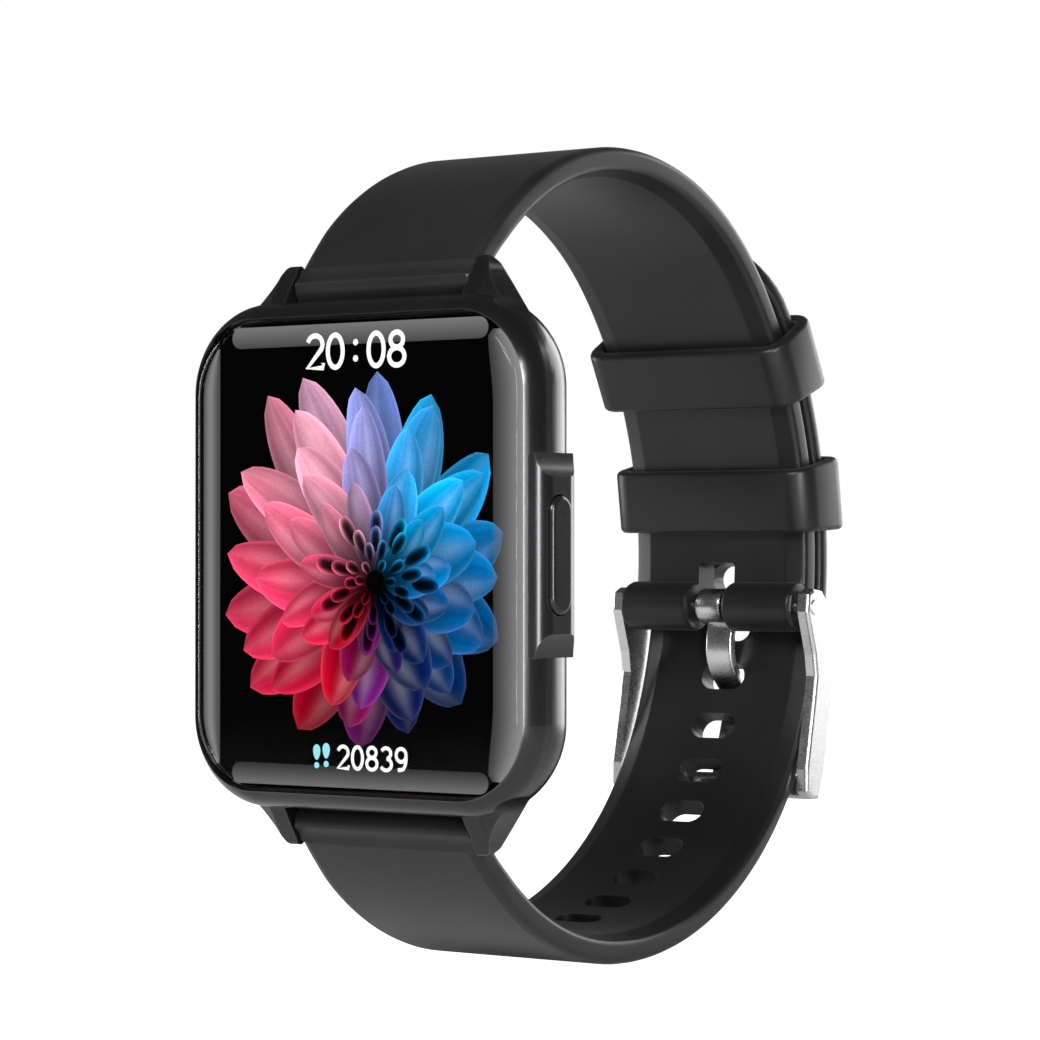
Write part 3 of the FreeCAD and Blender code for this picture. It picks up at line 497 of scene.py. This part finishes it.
def prism(name, centre, angle, radius, loop, depth):
    """A cutter that stands on the band: its loop is (across, along) and it runs depth each way."""
    y, z = polar(centre, radius, angle)
    out = Vector((0, math.cos(math.radians(angle)), math.sin(math.radians(angle))))
    along = Vector((0, -out.z, out.y))
    rings = []
    for level in (-depth, depth):
        rings.append([tuple(Vector((u, y, z)) + v * along + level * out) for u, v in loop])
    return make_piece(name, *loft(rings), None)


def stadium(length, height, steps=8):
    return rounded_loop(length / 2, height / 2, height / 2 - 0.001, steps)


def hole_places():
    """Where the buckle holes are: five on the tail's circle and seven on the heel's."""
    tail, bend = 44.2 - TAIL / 2, 32.3 - STRAP / 2
    pitch, bend_pitch = math.degrees(5.0 / tail), math.degrees(5.0 / bend)
    places = [(BACK, tail, -16.4 + i * pitch) for i in range(5)]
    return places + [(HEEL, bend, -23.6 - i * bend_pitch) for i in range(7)]


def finish_strap(piece, node, name):
    """Rounds and shades a strap half and puts it in the place of its node."""
    bevel(piece, 0.16, 2, 40)
    soften(piece, 40)
    weigh_normals(piece)
    piece.data.materials.clear()
    piece.data.materials.append(finishes["silicone"])
    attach(piece, "band")
    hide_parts(node)
    piece.name = name


def lever_cutter(end):
    """The notch on the wrist side of a strap end where the quick-release lever moves."""
    loop = rounded_loop(2.0, 0.9, 0.5)
    rings = [[(5.1 + u, y, end * BAR_Z + v) for u, v in loop] for y in (BAR_Y, BAR_Y + 5)]
    return make_piece("lever_cutter", *loft(rings), None)


def build_upper_strap():
    arcs = [(CREST, 27.7, LUG_TURN, TURN, (STRAP, STRAP)), (BACK, 42.0, TURN, -5.4, (STRAP, STRAP))]
    strap = make_piece("strap_upper", *loft(band_rings(arcs)), None)
    parts = [roll("roll_lug", (BAR_Y, BAR_Z), ROLL, 9.87),
             roll("roll_left", BUCKLE, 2.4, 0, (-9.9, -2.1)), roll("roll_right", BUCKLE, 2.4, 0, (2.1, 9.9))]
    carve(strap, parts, "UNION")
    slot = prism("slot", BACK, -5.6, 40.9, rounded_loop(2.1, 3.1, 0.4), 5)
    bores = [rod_cutter(BAR_Y, BAR_Z, 0.8), rod_cutter(*BUCKLE, 0.8)]
    carve(strap, [groove_cutter(1), slot, *bores, lever_cutter(1)])
    finish_strap(strap, "upper_strap", "strap_upper")


def rod_cutter(y, z, radius):
    rings = [[(x, *polar((y, z), radius, 360 * i / 64)) for i in range(64)] for x in (-12, 12)]
    return make_piece("rod_cutter", *loft(rings), None)


def build_lower_strap():
    arcs = [(FRONT_LOW, 27.7, -LUG_TURN, -90, (STRAP, STRAP)), (HEEL, 32.3, -90, HEEL_TURN, (STRAP, TAIL)),
            (BACK, 44.2, HEEL_TURN, TIP, (TAIL, TAIL))]
    rings = round_tip(band_rings(arcs))
    strap = make_piece("strap_lower", *loft(rings), None)
    carve(strap, [roll("roll_lug_low", (BAR_Y, -BAR_Z), ROLL, 9.87)], "UNION")
    cutters = [prism("hole", centre, angle, radius, stadium(5.0, 2.6), 4.5)
               for centre, radius, angle in hole_places()]
    cutters += [groove_cutter(-1), rod_cutter(BAR_Y, -BAR_Z, 0.8), lever_cutter(-1)]
    carve(strap, cutters)
    finish_strap(strap, "lower_strap", "strap_lower")


def round_tip(rings):
    """Narrows the last rings of the tail to a half circle."""
    middle = 44.2 - TAIL / 2
    start = TIP - math.degrees(HALF / middle)
    kept = []
    for ring in rings:
        x, y, z = ring[0]
        angle = math.degrees(math.atan2(z - BACK[1], y - BACK[0]))
        beyond = math.radians(angle - start) * middle
        if y > 25 and z > 0 and beyond > 0:
            continue
        kept.append(ring)
    for i in range(1, 13):
        turn = math.radians(90 * i / 12)
        half = max(HALF * math.cos(turn), 0.4)
        angle = start + math.degrees(HALF * math.sin(turn) / middle)
        squeeze = half / HALF
        ring = []
        for x, d in strap_section(TAIL):
            y, z = polar(BACK, 44.2 - d, angle)
            ring.append((x * squeeze, y, z))
        kept.append(ring)
    return kept


def build_keeper(name, node, body, angle):
    """A loop of soft rectangular section round both straps, curved with the back of the band."""
    inside, outside, wall = 39.25, 44.35, 1.4
    centre_r = (inside + outside) / 2
    half_x, half_r = 10.15 + wall / 2, (outside - inside + wall) / 2
    path = rounded_loop(half_x, half_r, 1.6, 6)
    section = rounded_loop(wall / 2, 3.3, 0.5, 4)
    rings = []
    count = len(path)
    for i, (px, pr) in enumerate(path):
        ax, ar = path[i - 1]
        bx, br = path[(i + 1) % count]
        along = Vector((bx - ax, br - ar)).normalized()
        normal = Vector((along.y, -along.x))
        ring = []
        for u, v in section:
            swell = 0.06 * math.cos(math.pi * v / 6.6)
            x = px + normal.x * (u + (swell if u > 0 else 0))
            r = centre_r + pr + normal.y * (u + (swell if u > 0 else 0))
            ring.append((x, *polar(BACK, r, angle + math.degrees(v / centre_r))))
        rings.append(ring)
    piece = make_piece(name, *loft(rings, closed_path=True), "silicone", body, 60)
    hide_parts(node)


def build_tongue():
    """A bent strip that leaves its loop round the bar, passes the hole and lies on the crossbar."""
    y, z = BUCKLE
    path = [(y + 1.25, z + 0.1), (y + 1.22, z - 1.2), (y + 0.95, z - 2.6), (y + 0.75, z - 4.2),
            (y + 0.95, z - 5.6), (y + 1.9, z - 6.9), (y + 3.0, z - 7.9), (y + 3.7, z - 8.8),
            (y + 3.85, z - 10.0),
            (y + 3.4, z - 11.9), (y + 2.6, z - 14.2), (y + 1.85, z - 16.6), (y + 1.5, z - 18.2)]
    section = rounded_loop(1.5, 0.52, 0.25, 3)
    rings = []
    for i, (py, pz) in enumerate(path):
        ay, az = path[max(i - 1, 0)]
        by, bz = path[min(i + 1, len(path) - 1)]
        along = Vector((by - ay, bz - az)).normalized()
        normal = Vector((-along.y, along.x))
        rings.append([(u, py + normal.x * v, pz + normal.y * v) for u, v in section])
    strip = make_piece("tongue", *loft(rings), None)
    step = strip.modifiers.new("smooth", "SUBSURF")
    step.levels = step.render_levels = 2
    apply_modifiers(strip)
    band_ring = roll("tongue_loop", BUCKLE, 1.75, 1.5)
    carve(strip, [band_ring], "UNION")
    bevel(strip, 0.12, 2, 45)
    soften(strip, 40)
    strip.data.materials.clear()
    strip.data.materials.append(finishes["polished_steel"])
    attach(strip, "tongue")
    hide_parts("buckle_tongue")


build_upper_strap()
build_lower_strap()
build_keeper("keeper_fixed", "fixed_keeper", "band", 7.8)
build_keeper("keeper_free", "free_keeper", "loop", 26.2)
build_tongue()


# ---------------------------------------------------------------- screen picture

GLASS_BACK = -9.7
SHEET_Y = GLASS_BACK - 0.002
SCREEN_Y = GLASS_BACK - 0.005
LAYER = 0.0009
HEART = (1.8, -2.3)
BLOOM = (-0.2, 0.1)
BLOOM_RADIUS = 17.3
GLASS_HALF = (18.15, 20.45)
GLASS_CORNER = 6.5
HUES = [(-95, (0.42, 0.09, 0.42)), (-72, (0.03, 0.10, 0.30)), (-40, (0.0, 0.22, 0.42)),
        (-5, (0.0, 0.40, 0.66)), (25, (0.0, 0.60, 0.90)), (58, (0.06, 0.74, 1.0)),
        (80, (0.42, 0.58, 0.93)), (100, (0.66, 0.62, 0.88)), (116, (1.0, 0.68, 0.77)),
        (150, (1.0, 0.52, 0.63)), (180, (0.95, 0.26, 0.42)), (210, (0.90, 0.16, 0.32)),
        (240, (0.72, 0.04, 0.16)), (265, (0.42, 0.09, 0.42))]


def hue_at(angle):
    """The petal colour for a direction from the flower's heart, blended between the stops."""
    angle = (angle + 95) % 360 - 95
    for (a, first), (b, second) in zip(HUES, HUES[1:]):
        if a <= angle <= b:
            share = (angle - a) / (b - a)
            return [p + (q - p) * share for p, q in zip(first, second)]
    return HUES[0][1]


def bloom_reach(angle):
    """How far it is from the heart to the flower's round outline in one direction."""
    a = math.radians(angle)
    dx, dz = HEART[0] - BLOOM[0], HEART[1] - BLOOM[1]
    along = dx * math.cos(a) + dz * math.sin(a)
    return -along + math.sqrt(along * along + BLOOM_RADIUS ** 2 - dx * dx - dz * dz)


def paint_piece(name, points, faces, colours, finish):
    """A flat lit piece whose corner colours are stored as paint."""
    mesh = bpy.data.meshes.new(name)
    mesh.from_pydata([tuple(c * MM for c in p) for p in points], [], faces)
    layer = mesh.color_attributes.new("paint", "FLOAT_COLOR", "POINT")
    for item, colour in zip(layer.data, colours):
        item.color = colour
    piece = bpy.data.objects.new(name, mesh)
    bpy.context.scene.collection.objects.link(piece)
    mesh.materials.append(finish)
    mesh.shade_smooth()
    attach(piece, "watch")
    return piece


class Picture:
    """Collects flat shapes of the picture, each one a hair nearer to the glass than the last."""

    def __init__(self):
        self.points, self.faces, self.colours = [], [], []
        self.level = 0

    def petal(self, angle, root, tip, width, shade, curl=0.0, hollow=0.0):
        """One pointed petal between two radii; curl bends it and hollow darkens its inside."""
        self.level += 1
        y = SCREEN_Y - self.level * LAYER
        rows, columns = 18, 12
        base = len(self.points)
        hue = hue_at(angle)
        fold = random.uniform(-0.5, 0.5)
        for i in range(rows + 1):
            t = i / rows
            wide = width * 1.9 * t ** 0.62 * (1 - t) ** (0.5 if hollow else 0.60)
            a = math.radians(angle + curl * t * t)
            along = root + (tip - root) * t
            for j in range(columns + 1):
                s = j / columns * 2 - 1
                side = wide / 2 * s
                x = HEART[0] + along * math.cos(a) - side * math.sin(a)
                z = HEART[1] + along * math.sin(a) + side * math.cos(a)
                self.points.append((x, y, z))
                self.colours.append(self.tone(hue, t, s, shade, fold, hollow))
        for i in range(rows):
            for j in range(columns):
                a = base + i * (columns + 1) + j
                self.faces.append((a, a + 1, a + columns + 2, a + columns + 1))

    def tone(self, hue, t, s, shade, fold, hollow):
        """Petal shading: dark at the root, veined, one half lit, with a fine bright rim."""
        depth = 0.04 + 0.96 * min(1.0, t * 1.2) ** 1.6
        veins = 1 + 0.10 * math.cos(s * 15 + fold * 9) * (0.3 + t)
        crease = 1 - 0.45 * math.exp(-((s - fold * 0.5) / 0.12) ** 2) * (1 - 0.7 * t)
        half = 0.72 + 0.34 * s * (1 if fold > 0 else -1)
        sheen = 0.35 * math.exp(-((s + fold) / 0.3) ** 2) * math.exp(-((t - 0.72) / 0.2) ** 2)
        value = shade * depth * veins * crease * half
        if hollow:
            value *= 1 - hollow * math.exp(-(s / 0.66) ** 6) * math.exp(-((t - 0.5) / 0.42) ** 6)
            sheen = 0.0
        rim = (abs(s) ** 9 * 0.55 + max(0.0, t - 0.9) * 2.5) * shade * min(1.0, 2.5 * t)
        colour = []
        for channel in hue:
            deep = channel ** 2.2
            colour.append(deep * value + sheen * shade * (0.4 * deep + 0.25) + rim * (0.55 * deep + 0.06))
        return (*colour, 1.0)


def build_flower():
    """A generic dahlia: five rings of pointed petals round a heart of small curled ones."""
    picture = Picture()
    rings = [(14, 1.0, 7.6, 0.66, 0.07), (13, 0.90, 7.3, 0.88, 0.06), (13, 0.76, 6.6, 1.0, 0.05),
             (12, 0.60, 5.0, 0.95, 0.05), (11, 0.47, 4.0, 0.8, 0.04)]
    for ring, (count, share, width, shade, jitter) in enumerate(rings):
        offset = random.uniform(0, 360 / count) + ring * 11
        order = list(range(count))
        random.shuffle(order)
        for i in order:
            angle = offset + 360 * i / count + random.uniform(-5, 5)
            reach = bloom_reach(angle) * (share + random.uniform(-jitter, 0.2 * jitter))
            picture.petal(angle, 1.0, reach, width * random.uniform(0.82, 1.08),
                          shade * random.uniform(0.75, 1.12), curl=random.uniform(-7, 7))
    heart = [(11, 6.9, 3.0, 1.75, 0.75), (10, 5.2, 2.3, 1.45, 0.7), (9, 3.8, 1.7, 1.2, 0.6),
             (6, 2.3, 1.2, 0.95, 0.45)]
    for count, reach, length, width, shade in heart:
        offset = random.uniform(0, 60)
        for i in range(count):
            angle = offset + 360 * i / count + random.uniform(-8, 8)
            tip = reach * random.uniform(0.9, 1.05)
            picture.petal(angle, tip - length, tip, width, shade, hollow=0.94)
    return picture


def build_screen():
    """The lit picture, the painted reflection veil at the margins, and the digits in front of both."""
    build_backing()
    picture = build_flower()
    lit = glow_paint("lit_picture", 1.35)
    paint_piece("screen_flower", picture.points, picture.faces, picture.colours, lit)
    veil = SCREEN_Y - (picture.level + 4) * LAYER
    build_painted_margin_reflection(veil)
    y = veil - 4 * LAYER
    white = glow_flat("lit_white", (1.0, 1.0, 1.0), 1.15)
    cyan = glow_flat("lit_cyan", (0.36, 0.84, 0.90), 1.0)
    digits_piece("screen_time", "20:08", (-0.35, y, 16.1), 3.2, 2.3, 0.46, white)
    digits_piece("screen_steps", "20839", (1.5, y, -18.55), 2.15, 1.62, 0.33, white)
    build_footprints(cyan, (-4.2, y, -17.45))


def build_backing():
    """The black print behind the glass, which hides everything but the lit picture."""
    loop = rounded_loop(GLASS_HALF[0] - 0.12, GLASS_HALF[1] - 0.12, GLASS_CORNER - 0.12, 10)
    points = [(x, SHEET_Y, z) for x, z in loop]
    make_piece("screen_backing", points, [tuple(range(len(points)))], "screen", "watch")


def glow_flat(name, colour, strength):
    """Lit lettering with a very slight unevenness."""
    n = Nodes(name)
    return n.set(colour=(0, 0, 0), rough=0.6, specular=0.0, glow=colour,
                 glow_power=n.span(n.noise(900), 0.97 * strength, 1.03 * strength))


def oval(cx, cz, half_x, half_z, first=0, last=360, steps=28):
    """Points of an elliptical arc, angles in degrees."""
    turns = [math.radians(first + (last - first) * i / steps) for i in range(steps + 1)]
    return [(cx + half_x * math.cos(a), cz + half_z * math.sin(a)) for a in turns]


# Strokes of each digit in a cell that is 1 high and 0.62 wide, with small feet where a typewriter has them.
GLYPHS = {
    "0": [oval(0, 0.5, 0.25, 0.44)],
    "8": [oval(0, 0.74, 0.205, 0.20), oval(0, 0.29, 0.25, 0.235)],
    "2": [oval(0, 0.70, 0.25, 0.24, 165, -42, 16) + [(-0.26, 0.06), (0.27, 0.06), (0.27, 0.19)]],
    "3": [oval(-0.02, 0.73, 0.23, 0.21, 155, -80, 16), oval(-0.02, 0.29, 0.265, 0.235, 85, -155, 18)],
    "9": [oval(0, 0.68, 0.24, 0.26), oval(-0.04, 0.56, 0.28, 0.50, 8, -62, 12) + [(-0.16, 0.08)]],
}


def ribbon(path, width):
    """A flat strip of even width along a path; returns points and quads."""
    points, faces = [], []
    closed = math.dist(path[0], path[-1]) < 1e-6
    last = len(path) - 1
    for i, (x, z) in enumerate(path):
        before = path[(i - 1) if i else (last - 1 if closed else 0)]
        after = path[(i + 1) if i < last else (1 if closed else last)]
        across = Vector((after[1] - before[1], before[0] - after[0])).normalized() * (width / 2)
        points += [(x + across.x, z + across.y), (x - across.x, z - across.y)]
    for i in range(last):
        faces.append((2 * i, 2 * i + 1, 2 * i + 3, 2 * i + 2))
    return points, faces


def digits_piece(name, words, place, height, pitch, weight, finish):
    """Generic typewriter digits as flat ribbons in the screen plane, centred on place."""
    points, faces = [], []
    cx, y, base = place
    for number, sign in enumerate(words):
        middle = cx + (number - (len(words) - 1) / 2) * pitch
        if sign == ":":
            shapes = [(oval(middle, base + height * level, weight * 0.62, weight * 0.62), None)
                      for level in (0.28, 0.72)]
        else:
            shapes = [([(middle + u * height * 1.06, base + v * height) for u, v in stroke], weight)
                      for stroke in GLYPHS[sign]]
        for path, width in shapes:
            first = len(points)
            if width is None:
                points += [(x, y, z) for x, z in path[:-1]]
                faces.append(tuple(range(first, len(points))))
                continue
            strip, quads = ribbon(path, width)
            points += [(x, y - 0.0002 * number, z) for x, z in strip]
            faces += [tuple(first + corner for corner in quad) for quad in quads]
    piece = make_piece(name, points, faces, None)
    piece.data.materials.append(finish)
    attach(piece, "watch")


def build_footprints(finish, place):
    """Two small shoe prints, each a sole and a heel."""
    points, faces = [], []
    px, y, pz = place
    for side, drop in ((-0.54, 0.0), (0.54, 0.14)):
        for cz, half_x, half_z in ((0.34, 0.41, 0.68), (-0.80, 0.29, 0.27)):
            first = len(points)
            count = 28
            for i in range(count):
                a = 2 * math.pi * i / count
                pinch = 1 + 0.22 * math.sin(a) * (1 if cz > 0 else 0)
                x = px + side + half_x * math.cos(a) * pinch
                points.append((x, y, pz + drop + cz + half_z * math.sin(a)))
            faces.append(tuple(range(first, first + count)))
    piece = make_piece("screen_footprints", points, faces, None)
    piece.data.materials.append(finish)
    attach(piece, "watch")


def glass_side(z, inset):
    """Half the width of the glass at a height, less an inset."""
    over = abs(z) - (GLASS_HALF[1] - GLASS_CORNER)
    if over <= 0:
        return GLASS_HALF[0] - inset
    run = math.sqrt(max(0.0, (GLASS_CORNER - inset) ** 2 - over ** 2))
    return GLASS_HALF[0] - GLASS_CORNER + run


def build_painted_margin_reflection(y):
    """Painted reflection: glowing sheets that stand in for the soft light the curved margins of the glass
    catch along its four sides.
    """
    points, faces, colours = [], [], []

    def sheet(outline_at, tone_at, rows, columns):
        """outline_at(v) gives the two ends of a row; tone_at(u, v) gives brightness and cover."""
        base = len(points)
        for i in range(rows + 1):
            v = i / rows
            (ax, az), (bx, bz) = outline_at(v)
            for j in range(columns + 1):
                u = j / columns
                light, cover = tone_at(u, v)
                points.append((ax + (bx - ax) * u, y, az + (bz - az) * u))
                colours.append((light / cover, light / cover, 1.01 * light / cover, cover))
        for i in range(rows):
            for j in range(columns):
                a = base + i * (columns + 1) + j
                faces.append((a, a + 1, a + columns + 2, a + columns + 1))

    def right_row(v):
        z = -19.0 + 38.0 * v
        flare = 0.55 * smooth_step((abs(z) - 12.5) / 6.5)
        tuck = 0.5 * max(0.0, (abs(z) - 18.4) / 0.6) ** 2
        return (14.7 - flare + tuck, z), (glass_side(z, 0.14), z)

    def left_row(v):
        z = -18.3 + 36.6 * v
        return (-max(glass_side(z, 0.14), 16.05), z), (-16.05, z)

    def pill_row(sign):
        def row(v):
            inset = 0.92 * (1 - math.sqrt(max(0.0, 1 - (2 * v - 1) ** 2)))
            z = sign * (18.25 + 1.85 * v)
            return (-14.6 + inset, z), (14.2 - inset, z)
        return row

    # Painted reflection: the right band brightens outwards, the left has a soft stripe, and the top pill is
    # brighter than the bottom one.
    sheet(right_row, lambda u, v: (0.045 + 0.25 * u ** 1.3, 0.35 + 0.45 * u), 70, 10)
    sheet(left_row, lambda u, v: (0.07 + 0.17 * math.exp(-((u - 0.4) / 0.3) ** 2), 0.55), 70, 10)
    sheet(pill_row(1), lambda u, v: (0.07 + 0.13 * v, 0.75), 24, 30)
    sheet(pill_row(-1), lambda u, v: (0.035 + 0.13 * v ** 1.3, 0.75), 24, 30)
    paint_piece("screen_margin_painted_reflection", points, faces, colours, painted_margin_reflection())


def painted_margin_reflection():
    """A veil of painted reflection: the paint's alpha is how much of the picture it covers."""
    n = Nodes("margin_light")
    paint = n.add("VertexColor")
    paint.layer_name = "paint"
    uneven = n.span(n.noise(40), 0.96, 1.04)
    n.set(colour=(0, 0, 0), rough=0.5, specular=0.0, glow=paint.outputs["Color"], glow_power=1.0)
    n.link(n.maths("MULTIPLY", paint.outputs["Alpha"], uneven), n.shader.inputs["Alpha"])
    return n.material


build_screen()


# ---------------------------------------------------------------- studio

def area_light(name, place, aim, size, power, tall=None):
    """A rectangular light in millimetres and watts that the camera does not see."""
    data = bpy.data.lights.new(name, "AREA")
    data.shape = "RECTANGLE"
    data.size = size * MM
    data.size_y = (tall or size) * MM
    data.energy = power
    lamp = bpy.data.objects.new(name, data)
    bpy.context.scene.collection.objects.link(lamp)
    lamp.location = Vector(place) * MM
    lamp.rotation_euler = (Vector(aim) - Vector(place)).to_track_quat("-Z", "Y").to_euler()
    lamp.visible_camera = False
    return lamp


def studio_world():
    """A white backdrop for the camera; the pieces themselves see a much dimmer room."""
    world = bpy.data.worlds.new("studio")
    world.use_nodes = True
    tree = world.node_tree
    seen = tree.nodes["Background"]
    seen.inputs["Color"].default_value = (1, 1, 1, 1)
    seen.inputs["Strength"].default_value = BACKDROP
    room = tree.nodes.new("ShaderNodeBackground")
    room.inputs["Color"].default_value = (1, 1, 1, 1)
    room.inputs["Strength"].default_value = ROOM
    path = tree.nodes.new("ShaderNodeLightPath")
    mix = tree.nodes.new("ShaderNodeMixShader")
    tree.links.new(path.outputs["Is Camera Ray"], mix.inputs[0])
    tree.links.new(room.outputs[0], mix.inputs[1])
    tree.links.new(seen.outputs[0], mix.inputs[2])
    tree.links.new(mix.outputs[0], tree.nodes["World Output"].inputs["Surface"])
    return world


BACKDROP = 1.0
ROOM = 0.05


def build_studio():
    """Floor, backdrop and five soft lights."""
    scene = bpy.context.scene
    corners = [(x, y, FLOOR_Z) for x, y in ((-900, -900), (900, -900), (900, 900), (-900, 900))]
    floor = make_piece("floor", corners, [(0, 1, 2, 3)], None)
    floor.data.materials.append(studio_floor())
    scene.world = studio_world()
    scene.view_settings.view_transform = "Standard"
    area_light("key_front", (60, -320, 190), (0, 0, 0), 180, 1.2, 120)
    area_light("shoulder_strip", (290, -190, 0), (0, 0, 0), 60, 1.5, 340)
    area_light("rear_soft", (60, 330, 60), (0, 20, 0), 240, 0.7, 260)
    area_light("left_soft", (-330, -40, 0), (0, 0, 0), 120, 0.7, 300)
    area_light("low_front", (120, -260, -220), (0, 0, 0), 160, 0.2, 120)


FLOOR_Z = -38.0
CAMERA = Vector((205.0, -254.1, 0.0))
AZIMUTH = 37.5
PITCH = 0.547
LENS = 127.9


def build_camera():
    """The camera, level with the watch, in front of it and to the button side."""
    data = bpy.data.cameras.new("camera")
    data.lens = LENS
    data.sensor_width = 36.0
    data.clip_start = 0.01
    camera = bpy.data.objects.new("camera", data)
    bpy.context.scene.collection.objects.link(camera)
    camera.location = CAMERA * MM
    camera.rotation_euler = (math.radians(90 + PITCH), 0, math.radians(AZIMUTH))
    bpy.context.scene.camera = camera


build_studio()
build_camera()
